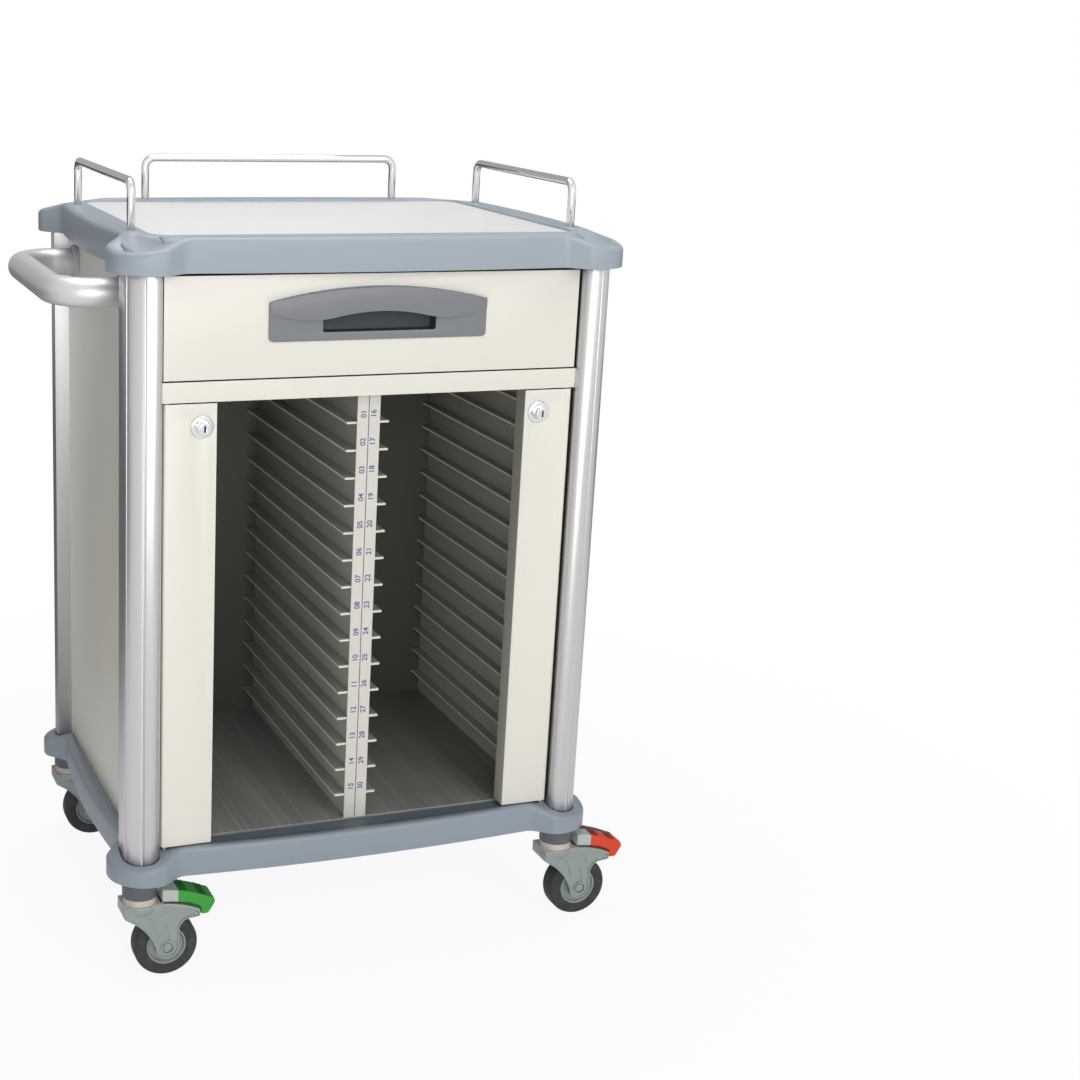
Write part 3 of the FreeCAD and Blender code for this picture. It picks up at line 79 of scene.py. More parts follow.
# Cleaning of a node's mesh: points this near are one point, and faces that turn by less than
# this angle, in degrees, are one face. Places are the same when so many decimals agree.
WELD = 0.002 * MM
FLAT_ANGLE = 0.2
CUT_TOLERANCE = 0.001 * MM
DECIMALS = 5

# The slots in the tray's lobes, from the stem's axis and down from the tray's top.
LOBE_SLOT_ASIDE = 22 * MM
LOBE_SLOT_HALF_WIDTH = 0.75 * MM
LOBE_SLOT_ALONG = (-9 * MM, 15 * MM)
LOBE_SLOT_DEPTH = 25 * MM

# Print on the index strip.
FONT_PER_FIGURE = 1.35
INK_HALF_DEPTH = 0.03 * MM
INK_SPREAD = 0.18 * MM
INK_LIFT = 0.05 * MM
LINE_MARGIN = 2 * MM

# Places where a piece changes its finish. Apart from the bearing rings, these mark where painted shade is laid on
# (the sill, the pull's pocket and hood, the bars' returns, the keyways, the forks' rib sides) and where the
# runners' edges get a painted highlight.
SILL_TOLERANCE = 1 * MM
POCKET_INSET = 0.5 * MM
HOOD_RISE = 8 * MM
HOOD_UNDERSIDE = -0.5
BAR_SHEET = 1.5 * MM
KEYWAY_DEPTH = (0.3 * MM, 8 * MM)
KEYWAY_HALF = Vector((1.5 * MM, 0, 5.2 * MM))
BEARING_HEIGHT = 8.1 * MM
FORK_RIBS_DROP = 16 * MM
FORK_RIB_SIDE = 0.6
RUNNER_HIGHLIGHT_SIDE = 0.6

# A brake pedal: rounds of relaxing for its whole skin and for its pad, and its ribs' places.
SKIN_ROUNDS = 6
PAD_ROUNDS = 44
RIBS_FROM_ARM = 2 * MM
RIBS_FROM_END = 13 * MM

# Relief of a surface: size of its grain, depth, and the noise's detail.
GRAINS = {
    "moulded": (0.9 * MM, 0.018 * MM, 2),
    "coated": (3.2 * MM, 0.02 * MM, 2),
    "vinyl": (1.2 * MM, 0.02 * MM, 2),
    "rubber": (0.8 * MM, 0.03 * MM, 3),
    "cast": (1.0 * MM, 0.03 * MM, 3),
}

# Specks in the worktop: size, the stretch of noise that they take up, strength and shade.
SPECK_SIZE = 1.4 * MM
SPECK_BAND = (0.56, 0.66)
SPECK_STRENGTH = 0.6
SPECK_SHADE = 0.93

# Draw lines on metal: width, depth, shade, drift of gloss, and the noise's scale along them.
LINE_WIDTH = 0.7 * MM
LINE_DEPTH = 0.012 * MM
LINE_SHADE = 0.90
LINE_GLOSS = 0.10
LINE_SCALE = 0.004

# Streaks in the bay floor: size, noise's detail, its scale front to back, the stretch of noise
# that they take up, and strength.
WIDE_STREAKS = (30 * MM, 1.5, 0.03, (0.3, 0.7), 0.4)
FINE_STREAKS = (5 * MM, 2, 0.012, (0.52, 0.72), 0.6)

# Dust on the tyres: size, the stretch of noise that it takes up, and how much it lightens.
DUST_SIZE = 9 * MM
DUST_BAND = (0.45, 0.8)
DUST_GAIN = 1.9
DUST_LIFT = 0.012

# Studio lamps: place, aim, width in metres and power in watts.
LAMPS = {
    "key": ((0.7, -2.9, 1.9), (0.0, 0.0, 0.5), 1.7, 26),
    "front": ((-0.9, -3.1, 1.0), (0.0, 0.0, 0.45), 1.8, 34),
    "top": ((0.0, 0.3, 2.9), (0.0, 0.0, 0.9), 1.6, 36),
}
LAMP_COLOUR = (1.0, 0.995, 0.985)

# The sky's level as a light, its level behind the rack in bright metal, and where that sets in.
SKY_FILL = 0.18
SKY_BEHIND = 0.45
SKY_FADE = (-0.1, 0.7)

# The floor in metres, its own glow to the eye, and what bright metal sees of it.
FLOOR_HALF = 8
FLOOR_DEPTH = 0.02
FLOOR_GLOW = 0.92
FLOOR_GLOW_FADE = (0.3, 1.5)
FLOOR_MIRRORED = 0.85
FLOOR_MIRRORED_GLOW = 0.9
FLOOR_MIRRORED_FADE = (-0.3, 0.9)

# The camera: focal length in pixels of a frame 1080 wide, and its angles in radians.
CAMERA_SPOT = Vector((-0.7683, -2.1890, 1.1493))
CAMERA_YAW, CAMERA_PITCH, CAMERA_ROLL = 0.3580, 0.2589, 0.0337
CAMERA_SENSOR = 36
CAMERA_FOCAL, CAMERA_FRAME = 1813, 1080
CAMERA_SHIFT = (0.178, -0.035)

# ---------------------------------------------------------------- colours and sizes


def shade(red, green, blue):
    """A display colour, 0 to 255, as the linear colour that the shaders take."""
    def linear(level):
        level /= 255
        return level / 12.92 if level <= 0.04045 else ((level + 0.055) / 1.055) ** 2.4
    return tuple(linear(level) for level in (red, green, blue))


def paint(label, *levels):
    """A colour of the rack, from display levels."""
    return FloatVectorProperty(
        name=label, description=f"Colour of the {label.lower()}", subtype="COLOR",
        size=3, min=0, max=1, default=shade(*levels))


def length(label, meaning, millimetres, lowest=0.0):
    """A length of the rack, from millimetres."""
    return FloatProperty(
        name=label, description=meaning, unit="LENGTH", min=lowest, default=millimetres * MM)


class ChartRackColours(bpy.types.PropertyGroup):
    tray: paint("Top tray", 166, 177, 187)
    base: paint("Base moulding", 148, 159, 170)
    # A darker slate for the base's sunken sill and the tray's slot walls: painted shade in these recesses.
    sill: paint("Base's sill", 104, 117, 126)
    worktop: paint("Worktop", 234, 235, 234)
    board: paint("Cream panels", 237, 234, 224)
    post: paint("Corner posts", 206, 204, 206)
    chrome: paint("Guard rails", 226, 222, 222)
    handle: paint("Push handle", 218, 219, 222)
    collar: paint("Handle collars", 176, 178, 180)
    # Bay walls: a grey darker than the cream boards, as painted shade inside the bays.
    bay: paint("Bay walls", 186, 184, 176)
    # The back panel's face towards the bays: dark grey, as painted shade deep in the bays.
    bay_back: paint("Bay's back wall", 86, 86, 80)
    vinyl: paint("Bay floor", 138, 139, 136)
    vinyl_streak: paint("Bay floor's streaks", 166, 166, 162)
    # Runners: the body a little darker as painted shade on their tops, the side faces and front ends near white as
    # painted highlights.
    runner: paint("Chart runners", 165, 163, 155)
    runner_edge: paint("Runner edges", 248, 246, 238)
    runner_tip: paint("Runner tips", 232, 231, 224)
    card: paint("Index strip", 222, 219, 210)
    ink: paint("Index figures", 92, 84, 150)
    pull: paint("Drawer pull", 129, 132, 137)
    # The pull's pocket and the underside of its hood: dark, as painted shade in the recess and under the hood.
    pocket: paint("Pull's pocket", 54, 62, 69)
    liner: paint("Drawer box", 205, 206, 207)
    zinc: paint("Zinc plate", 176, 178, 182)
    nickel: paint("Locks", 224, 224, 226)
    stem: paint("Stem collars", 92, 97, 103)
    casting: paint("Caster forks", 150, 160, 157)
    # Forks' rib sides: a darker grey, as painted shade that outlines the cast ribs.
    casting_edge: paint("Caster forks' rib sides", 96, 104, 102)
    # Near black on the narrow sides of boards and bars: painted shade in the gaps between parts.
    seal: paint("Painted gap shade", 34, 34, 34)
    bearing: paint("Bearing rings", 206, 197, 186)
    rubber: paint("Tyres", 44, 47, 46)
    hub: paint("Wheel hubs", 150, 160, 160)
    pedal_arm: paint("Pedal arms", 190, 196, 194)
    green: paint("Brake pedal, green", 58, 160, 56)
    green_rib: paint("Green pedal's ribs", 34, 116, 38)
    red: paint("Brake pedal, red", 222, 68, 34)
    red_rib: paint("Red pedal's ribs", 150, 38, 22)
    # Black on the far part of the right pedal's top.
    tread: paint("Right pedal's black top", 38, 38, 40)
    # Keyways: near black, as painted shade inside the key slots.
    keyway: paint("Keyways", 24, 24, 26)
    floor: paint("Studio floor", 246, 246, 246)
    floor_mirrored: paint("Floor in bright metal", 70, 66, 64)


class ChartRackSizes(bpy.types.PropertyGroup):
    edge: length("Edge rounding", "Rounding of sheet and board edges", 0.8)
    fine_edge: length("Fine edge rounding", "Rounding of small cast and turned edges", 0.4)
    # The pale cap is a painted highlight on each runner's front end.
    tip_length: length("Runner tips", "Length of the pale cap on a runner's front end", 3.0)
    figure_height: length("Figure height", "Height of the index strip's figures", 7.2)
    figure_lift: length("Figure lift", "Figures' middle above the runner's top", 9.5)
    figure_step: length("Figure step", "Figures' middle beside the centre line", 6.4)
    line_width: length("Centre line", "Width of the index strip's centre line", 1.1)
    pedal_arm: length("Pedal arm", "Grey end of a brake pedal's top", 19.8)
    tread_start: length("Pedal's black top start", "Black top of the right pedal, from its middle", 2.0)
    tread_depth: length("Black top depth", "Black top of the right pedal, down from its top", 22.0)
    pin_reach: length("Pin ends", "Steel ends of a pedal's pin beyond its pad", 1.9)
    pedal_grain: length("Pedal voxel", "Fineness of a pedal's rounded form", 1.0, 0.3)
    pad_start: length("Pad start", "Where a brake pedal's rounded pad begins", 27.0)
    rib_count: IntProperty(
        name="Pedal ribs", description="Ribs in each group on a brake pedal", default=5, min=2)
    rib_pitch: length("Rib pitch", "Spacing of a brake pedal's ribs", 2.2)
    rib_width: length("Rib width", "Width of a brake pedal's rib", 1.1)
    rib_height: length("Rib height", "How far a brake pedal's rib stands up", 0.9)
    rib_margin: length("Rib margin", "Brake pedal's ribs short of its sides", 3.5)


# ---------------------------------------------------------------- shader expressions


class Wire:
    """A shader socket that takes part in arithmetic."""

    def __init__(self, shading, socket):
        self.shading = shading
        self.socket = socket

    def __add__(self, other):
        return self.shading.maths("ADD", self, other)

    __radd__ = __add__

    def __sub__(self, other):
        return self.shading.maths("SUBTRACT", self, other)

    def __rsub__(self, other):
        return self.shading.maths("SUBTRACT", other, self)

    def __mul__(self, other):
        return self.shading.maths("MULTIPLY", self, other)

    def __gt__(self, other):
        return self.shading.maths("GREATER_THAN", self, other)

    def __lt__(self, other):
        return self.shading.maths("LESS_THAN", self, other)


class Shading:
    """Shader arithmetic in one node tree."""

    def __init__(self, tree):
        self.tree = tree
        tree.nodes.clear()

    def feed(self, socket, value):
        if isinstance(value, Wire):
            self.tree.links.new(value.socket, socket)
        else:
            socket.default_value = value

    def node(self, kind, settings, *values, result=0, **named):
        """A node of any kind: its settings first, then the values or links of its sockets."""
        made = self.tree.nodes.new(kind)
        for key, value in settings.items():
            setattr(made, key, value)
        for socket, value in zip(made.inputs, values):
            self.feed(socket, value)
        for key, value in named.items():
            self.feed(made.inputs[key], value)
        return Wire(self, made.outputs[result])

    def maths(self, operation, *values):
        return self.node("ShaderNodeMath", {"operation": operation}, *values)

    def larger(self, *values):
        return self.maths("MAXIMUM", *values)

    def ray(self, kind):
        """1 for rays of one kind, else 0."""
        return self.node("ShaderNodeLightPath", {}, result=f"Is {kind} Ray")

    def ramp(self, value, low, high, first=0.0, last=1.0):
        """The first value below low, the last above high, smooth between."""
        return self.node("ShaderNodeMapRange", {"interpolation_type": "SMOOTHSTEP"},
                         value, low, high, first, last)


class Finish(Shading):
    """A material, with the nodes that make its colour, gloss and grain."""

    def __init__(self, name, colour, roughness, metallic=0.0):
        self.material = bpy.data.materials.new(name)
        self.material.use_nodes = True
        self.material.diffuse_color = (*colour, 1)
        super().__init__(self.material.node_tree)
        self.shader = self.tree.nodes.new("ShaderNodeBsdfPrincipled")
        self.output = self.tree.nodes.new("ShaderNodeOutputMaterial")
        self.tree.links.new(self.shader.outputs[0], self.output.inputs[0])
        self.colour, self.roughness = colour, roughness
        self.set("Base Color", (*colour, 1))
        self.set("Roughness", roughness)
        self.set("Metallic", metallic)

    def set(self, name, value):
        self.feed(self.shader.inputs[name], value)
        return self

    def place(self, stretch=(1, 1, 1)):
        """The point in the object's own frame, in metres, times a factor along each axis."""
        where = self.node("ShaderNodeTexCoord", {}, result="Object")
        if stretch == (1, 1, 1):
            return where
        return self.node("ShaderNodeMapping", {}, where, Scale=stretch)

    def axis(self, name):
        return self.node("ShaderNodeSeparateXYZ", {}, self.place(), result="xyz".index(name))

    def noise(self, grain, detail, stretch=(1, 1, 1)):
        """Noise from 0 to 1 whose features are about as large as the grain, in metres."""
        return self.node("ShaderNodeTexNoise", {}, Vector=self.place(stretch),
                         Scale=1 / grain, Detail=detail)

    def mixed(self, factor, first, second):
        made = self.node("ShaderNodeMix", {"data_type": "RGBA", "clamp_factor": True},
                         factor, result=2)
        inputs = made.socket.node.inputs
        for socket, value in ((inputs[6], first), (inputs[7], second)):
            self.feed(socket, value if isinstance(value, Wire) else (*value, 1))
        return made

    def clouded(self, amount, grain):
        """Lets the colour drift a little over the surface."""
        dark = tuple(level * (1 - amount) for level in self.colour)
        light = tuple(min(1, level * (1 + amount)) for level in self.colour)
        return self.set("Base Color", self.mixed(self.noise(grain, 3), dark, light))

    def scuffed(self, amount, grain):
        """Lets the gloss drift a little over the surface."""
        drift = (self.noise(grain, 4) - 0.5) * (2 * amount)
        return self.set("Roughness", self.roughness + drift)

    def embossed(self, height, depth):
        """Raises the surface by a height from 0 to 1, times a depth in metres."""
        bump = self.node("ShaderNodeBump", {}, Height=height, Distance=depth, Strength=1.0)
        return self.set("Normal", bump)

    def grained(self, kind):
        """Gives the surface the relief of its kind."""
        size, depth, detail = GRAINS[kind]
        return self.embossed(self.noise(size, detail), depth)


# ---------------------------------------------------------------- finishes


def moulded(name, colour, roughness=0.42):
    """Injection-moulded plastic with a fine spark-eroded grain."""
    finish = Finish(name, colour, roughness)
    finish.clouded(0.035, 300 * MM).scuffed(0.05, 50 * MM).grained("moulded")
    return finish.set("Specular IOR Level", 0.45)


def coated(name, colour, roughness=0.36):
    """Powder-coated sheet or laminated board with a faint orange peel."""
    finish = Finish(name, colour, roughness)
    return finish.clouded(0.02, 500 * MM).scuffed(0.04, 80 * MM).grained("coated")


def laminate(name, colour):
    """Laminated worktop with faint grey specks."""
    finish = Finish(name, colour, 0.42)
    specks = finish.ramp(finish.noise(SPECK_SIZE, 4), *SPECK_BAND)
    grey = tuple(level * SPECK_SHADE for level in colour)
    finish.set("Base Color", finish.mixed(specks * SPECK_STRENGTH, colour, grey))
    return finish.scuffed(0.05, 20 * MM)


def drawn(name, colour, roughness, along, metallic=1.0):
    """Metal with fine draw lines along one axis."""
    stretch = tuple(LINE_SCALE if letter == along else 1.0 for letter in "XYZ")
    finish = Finish(name, colour, roughness, metallic)
    lines = finish.noise(LINE_WIDTH, 3, stretch)
    dark = tuple(level * LINE_SHADE for level in colour)
    finish.set("Base Color", finish.mixed(lines, dark, colour))
    finish.set("Roughness", roughness + (lines - 0.5) * LINE_GLOSS)
    return finish.embossed(lines, LINE_DEPTH)


def plated(name, colour, roughness):
    """Bright plated metal."""
    return Finish(name, colour, roughness, 1.0).scuffed(0.04, 4 * MM)


def vinyl(name, colour, streak):
    """Floor covering with soft streaks that run front to back."""
    finish = Finish(name, colour, 0.45)
    wide, fine = (
        finish.ramp(finish.noise(grain, detail, (1.0, scale, 1.0)), *band) * strength
        for grain, detail, scale, band, strength in (WIDE_STREAKS, FINE_STREAKS))
    finish.set("Base Color", finish.mixed(wide + fine, colour, streak))
    return finish.scuffed(0.06, 20 * MM).grained("vinyl")


def rubber(name, colour):
    """Tyre rubber with a little dust."""
    finish = Finish(name, colour, 0.72)
    dusty = tuple(min(1, level * DUST_GAIN + DUST_LIFT) for level in colour)
    dust = finish.ramp(finish.noise(DUST_SIZE, 5), *DUST_BAND)
    return finish.set("Base Color", finish.mixed(dust, colour, dusty)).grained("rubber")


def cast(name, colour):
    """Die casting under a satin lacquer."""
    finish = Finish(name, colour, 0.38, 0.35)
    return finish.clouded(0.06, 30 * MM).scuffed(0.06, 10 * MM).grained("cast")


def pedal_plastic(name, colour, colours, size, corner):
    """A pedal's plastic, with its grey arm, the pin's steel ends and black over the far part of the right one's
    top.
    """
    low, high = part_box(f"brake_pedal_{corner}")
    middle = (low.y + high.y) / 2
    finish = moulded(name, colour, 0.34)
    x, y, z = (finish.axis(letter) for letter in "xyz")
    surface = finish.mixed(x < low.x + size.pedal_arm, colour, colours.pedal_arm)
    # The right pedal is black on the far part of its top, from a little past its middle and down to a set depth.
    if corner == "front_right":
        above = (y > middle + size.tread_start) * (z > high.z - size.tread_depth)
        surface = finish.mixed(above, surface, colours.tread)
    pin_end = (y < low.y + size.pin_reach) + (y > high.y - size.pin_reach)
    return finish.set("Base Color", finish.mixed(pin_end, surface, colours.zinc))


def make_finishes(colours, size):
    """Every finish by the name of its slot, or of the part that it colours."""
    made = {
        "tray_plastic": moulded("tray_plastic_finish", colours.tray),
        "base_plastic": moulded("base_plastic_finish", colours.base),
        # Painted shade: the darker slate of the sill and of the tray's slot walls.
        "sill": moulded("base_sill_finish", colours.sill, 0.5),
        "worktop": laminate("worktop_finish", colours.worktop),
        "board": coated("board_finish", colours.board),
        "panel": coated("panel_finish", colours.board, 0.32),
        "post": drawn("post_finish", colours.post, 0.38, "Z"),
        "rail_rod": plated("guard_rail_finish", colours.chrome, 0.10),
        "handle": drawn("handle_finish", colours.handle, 0.44, "Y", 0.7),
        "collar": moulded("collar_finish", colours.collar, 0.35),
        # This grey stands in for shade: painted shade inside the bays and on the bars' return flanges.
        "dark_sheet": coated("bay_wall_finish", colours.bay, 0.5),
        # Painted shade at the back of the bays.
        "bay_back": coated("bay_back_finish", colours.bay_back, 0.5),
        "floor": vinyl("bay_floor_finish", colours.vinyl, colours.vinyl_streak),
        # One plastic in shaded and lit copies: painted shade on the runners' tops, painted highlights on their
        # edges and tips.
        "runner": moulded("runner_finish", colours.runner, 0.45),
        "runner_edge": moulded("runner_edge_finish", colours.runner_edge, 0.45),
        "runner_tip": moulded("runner_tip_finish", colours.runner_tip, 0.4),
        "strip": moulded("index_card_finish", colours.card, 0.4),
        "ink": moulded("index_ink_finish", colours.ink, 0.6),
        "pull": moulded("drawer_pull_finish", colours.pull, 0.38),
        # Painted shade in the pull's pocket and under its hood.
        "pocket": moulded("pull_pocket_finish", colours.pocket, 0.5),
        "box": moulded("drawer_box_finish", colours.liner, 0.45),
        "steel": plated("zinc_finish", colours.zinc, 0.35),
        "lock": plated("lock_finish", colours.nickel, 0.12),
        # Painted shade inside the key slots.
        "keyway": moulded("keyway_finish", colours.keyway, 0.6),
        "stem_collar": moulded("stem_collar_finish", colours.stem, 0.5),
        "fork": cast("fork_finish", colours.casting),
        # Painted shade on the sides of the forks' ribs.
        "fork_edge": cast("fork_edge_finish", colours.casting_edge),
        # Painted shade in the gaps between parts.
        "seal": moulded("edge_band_finish", colours.seal, 0.7),
        "bearing": moulded("bearing_ring_finish", colours.bearing, 0.45),
        "tyre": rubber("tyre_finish", colours.rubber),
        "hub": moulded("hub_finish", colours.hub, 0.4),
        "pedal_green": pedal_plastic(
            "pedal_green_finish", colours.green, colours, size, "front_left"),
        "pedal_red": pedal_plastic(
            "pedal_red_finish", colours.red, colours, size, "front_right"),
        "pedal_green_rib": moulded("pedal_green_rib_finish", colours.green_rib, 0.4),
        "pedal_red_rib": moulded("pedal_red_rib_finish", colours.red_rib, 0.4),
    }
    return {name: finish.material for name, finish in made.items()}


FINISHES = {}

# ---------------------------------------------------------------- mesh helpers


def new_object(name, mesh):
    piece = bpy.data.objects.new(name, mesh)
    bpy.context.scene.collection.objects.link(piece)
    return piece


def settled(piece):
    """Turns a piece's evaluated form into its own plain mesh."""
    graph = bpy.context.evaluated_depsgraph_get()
    mesh = bpy.data.meshes.new_from_object(piece.evaluated_get(graph))
    piece.modifiers.clear()
    piece.data = mesh
    return piece


def fitted(piece, body, nodes=()):
    """Puts a finished piece on its body, in the place of the nodes that it stands for."""
    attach(piece, body)
    if nodes:
        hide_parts(*nodes)
    return piece


def eased(piece, width, angle=BEVEL_ANGLE, spared=None):
    """Rounds a piece's sharp edges, apart from spared ones, and smooths its shading."""
    for face in piece.data.polygons:
        face.use_smooth = True
    bevel = piece.modifiers.new("eased edges", "BEVEL")
    bevel.width = width
    bevel.segments = BEVEL_SEGMENTS
    bevel.limit_method = "ANGLE"
    bevel.angle_limit = math.radians(angle)
    if spared:
        bevel.limit_method = "WEIGHT"
        weigh_edges(piece.data, math.radians(angle), spared)
    bevel.harden_normals = True
    bevel.use_clamp_overlap = True
    return settled(piece)


def weigh_edges(mesh, angle, spared):
    """Marks the edges that a bevel takes: the sharp ones, apart from the spared ones."""
    shape = bmesh.new()
    shape.from_mesh(mesh)
    weight = shape.edges.layers.float.new("bevel_weight_edge")
    for edge in shape.edges:
        middle = (edge.verts[0].co + edge.verts[1].co) / 2
        edge[weight] = float(edge.calc_face_angle(0) > angle and not spared(middle))
    shape.to_mesh(mesh)
    shape.free()


def part_faces(shape, cuts):
    """Parts the faces at some places along an axis, for two finishes to meet there."""
    for axis, place in cuts:
        everything = [*shape.verts, *shape.edges, *shape.faces]
        bmesh.ops.bisect_plane(shape, geom=everything, dist=CUT_TOLERANCE,
                               plane_co=AXES[axis] * place, plane_no=AXES[axis])


def mesh_of(shape, name):
    """A mesh from a shape that's then freed."""
    mesh = bpy.data.meshes.new(name)
    shape.to_mesh(mesh)
    shape.free()
    return mesh


def merged_copy(node, cuts=()):
    """A node's own mesh with its triangles joined and its flat faces made whole."""
    shape = bmesh.new()
    shape.from_mesh(frame["nodes"][node].data)
    bmesh.ops.remove_doubles(shape, verts=shape.verts, dist=WELD)
    bmesh.ops.dissolve_limit(shape, angle_limit=math.radians(FLAT_ANGLE),
                             verts=shape.verts, edges=shape.edges)
    part_faces(shape, cuts)
    return mesh_of(shape, f"{node}_finished")


def finished(node, width, finish=None, angle=BEVEL_ANGLE, cuts=(), spared=None):
    """A node dressed as it is: edges eased, shading smooth, and its slot's finish."""
    mesh = merged_copy(node, cuts)
    mesh.materials.append(FINISHES[finish or SLOT_OF[node]])
    piece = eased(new_object(f"{node}_finished", mesh), width, angle, spared)
    return fitted(piece, BODY_OF[node], [node])


def recoloured(piece, finish, test=lambda centre, normal: True):
    """Gives another finish to the faces whose centre and normal pass the test."""
    piece.data.materials.append(FINISHES[finish])
    number = len(piece.data.materials) - 1
    for face in piece.data.polygons:
        if test(face.center, face.normal):
            face.material_index = number
    return piece


def block(name, low, high, cuts=()):
    """A box between two corners, as an object."""
    shape = bmesh.new()
    bmesh.ops.create_cube(shape, size=1)
    low, high = Vector(low), Vector(high)
    for vertex in shape.verts:
        vertex.co = Vector(
            (low[i] + high[i]) / 2 + vertex.co[i] * (high[i] - low[i]) for i in range(3))
    part_faces(shape, cuts)
    return new_object(name, mesh_of(shape, name))


def joined(name, pieces, finish):
    """One piece from several, which are then removed."""
    shape = bmesh.new()
    for piece in pieces:
        shape.from_mesh(piece.data)
        bpy.data.objects.remove(piece)
    return recoloured(new_object(name, mesh_of(shape, name)), finish)


def levels(points, axis):
    """The different places of some points along an axis, in order."""
    return sorted({round(point.dot(AXES[axis]), DECIMALS) for point in points})


def corners_of(node):
    """The points of a node's mesh."""
    return [vertex.co for vertex in frame["nodes"][node].data.vertices]


# ---------------------------------------------------------------- geometry nodes


class Recipe:
    """A geometry node tree with named inputs."""

    def __init__(self, name, inputs):
        self.tree = bpy.data.node_groups.new(name, "GeometryNodeTree")
        self.sockets = {}
        for label, kind in inputs.items():
            made = self.tree.interface.new_socket(label, in_out="INPUT", socket_type=kind)
            self.sockets[label] = made.identifier
        self.tree.interface.new_socket(
            "Geometry", in_out="OUTPUT", socket_type="NodeSocketGeometry")
        self.entry = self.tree.nodes.new("NodeGroupInput")
        self.exit = self.tree.nodes.new("NodeGroupOutput")

    def given(self, label):
        return self.entry.outputs[label]

    def node(self, kind, settings, **values):
        made = self.tree.nodes.new(kind)
        for key, value in settings.items():
            setattr(made, key, value)
        for key, value in values.items():
            socket = made.inputs[key.replace("_", " ")]
            if isinstance(value, bpy.types.NodeSocket):
                self.tree.links.new(value, socket)
            else:
                socket.default_value = value
        return made

    def close(self, geometry):
        """Ends the tree: instances made real, and their finish set."""
        real = self.node("GeometryNodeRealizeInstances", {}, Geometry=geometry)
        dressed = self.node("GeometryNodeSetMaterial", {}, Geometry=real.outputs[0],
                            Material=self.given("Finish"))
        self.tree.links.new(dressed.outputs[0], self.exit.inputs[0])
        return self

    def apply(self, name, **values):
        """A plain mesh object made by the tree from its input values."""
        piece = new_object(name, bpy.data.meshes.new(name))
        modifier = piece.modifiers.new(self.tree.name, "NODES")
        modifier.node_group = self.tree
        for label, value in values.items():
            modifier[self.sockets[label]] = value
        return settled(piece)


def row_recipe():
    """Copies of one piece in a straight row."""
    recipe = Recipe("row of pieces", {
        "Piece": "NodeSocketObject", "Count": "NodeSocketInt", "Start": "NodeSocketVector",
        "Step": "NodeSocketVector", "Finish": "NodeSocketMaterial",
    })
    line = recipe.node("GeometryNodeMeshLine", {"mode": "OFFSET"}, Count=recipe.given("Count"),
                       Start_Location=recipe.given("Start"), Offset=recipe.given("Step"))
    source = recipe.node("GeometryNodeObjectInfo", {"transform_space": "ORIGINAL"},
                         Object=recipe.given("Piece"))
    copies = recipe.node("GeometryNodeInstanceOnPoints", {}, Points=line.outputs[0],
                         Instance=source.outputs["Geometry"])
    return recipe.close(copies.outputs[0])


def in_a_row(name, sample, count, start, step, finish):
    """The sample repeated along a row; the sample itself is then removed."""
    made = RECIPES["row"].apply(name, Piece=sample, Count=count, Start=start, Step=step,
                                Finish=FINISHES[finish])
    mesh = sample.data
    bpy.data.objects.remove(sample)
    bpy.data.meshes.remove(mesh)
    return made


RECIPES = {}

# ---------------------------------------------------------------- operators


def in_lobe_slot(point):
    """Whether a point of the tray lies in one of the slots beside its posts."""
    stem = STEM_OF["rear_right"]
    aside, along = abs(abs(point.x) - stem.x), abs(point.y) - stem.y
    return (abs(aside - LOBE_SLOT_ASIDE) < LOBE_SLOT_HALF_WIDTH
            and LOBE_SLOT_ALONG[0] < along < LOBE_SLOT_ALONG[1]
            and point.z > TRAY_TOP - LOBE_SLOT_DEPTH)


def on_gap_shade_side(centre, normal):
    """Whether a face is one of a front board's four narrow sides, which get painted gap shade."""
    return max(abs(normal.x), abs(normal.z)) > SQUARE


class ChartRackOperator(bpy.types.Operator):
    """Base of the rack's operators"""
    bl_options = {"REGISTER", "UNDO"}

    def execute(self, context):
        self.make(context.scene.chart_rack_sizes)
        return {"FINISHED"}


class CHARTRACK_OT_finishes(ChartRackOperator):
    """Make every finish and give it to the nodes that wear it"""
    bl_idname = "chartrack.finishes"
    bl_label = "Finishes"

    def make(self, size):
        FINISHES.update(make_finishes(bpy.context.scene.chart_rack_colours, size))
        RECIPES["row"] = row_recipe()
        for node, item in frame["nodes"].items():
            item.data.materials.clear()
            item.data.materials.append(FINISHES[SLOT_OF[node]])


class CHARTRACK_OT_mouldings(ChartRackOperator):
    """Dress the base moulding, the top tray and the worktop panel"""
    bl_idname = "chartrack.mouldings"
    bl_label = "Mouldings"

    def make(self, size):
        finished("worktop_panel", size.edge)
        tray = finished("top_tray", size.edge, spared=in_lobe_slot)
        # The walls of the lobe slots get the darker slate: painted shade in the slots.
        recoloured(tray, "sill", lambda centre, normal: (
            in_lobe_slot(centre) and max(abs(normal.x), abs(normal.y)) > SQUARE))
        floor_low, floor_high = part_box("floor_plate")
        base = finished("base_tray", size.edge, cuts=[("y", floor_low.y)])
        # The sill's top, in front of the bay floor, gets the darker slate: painted shade on the sunken step.
        recoloured(base, "sill", lambda centre, normal: (
            normal.z > LEVEL and abs(centre.z - floor_low.z) < SILL_TOLERANCE
            and abs(centre.x) < floor_high.x and centre.y < floor_low.y))


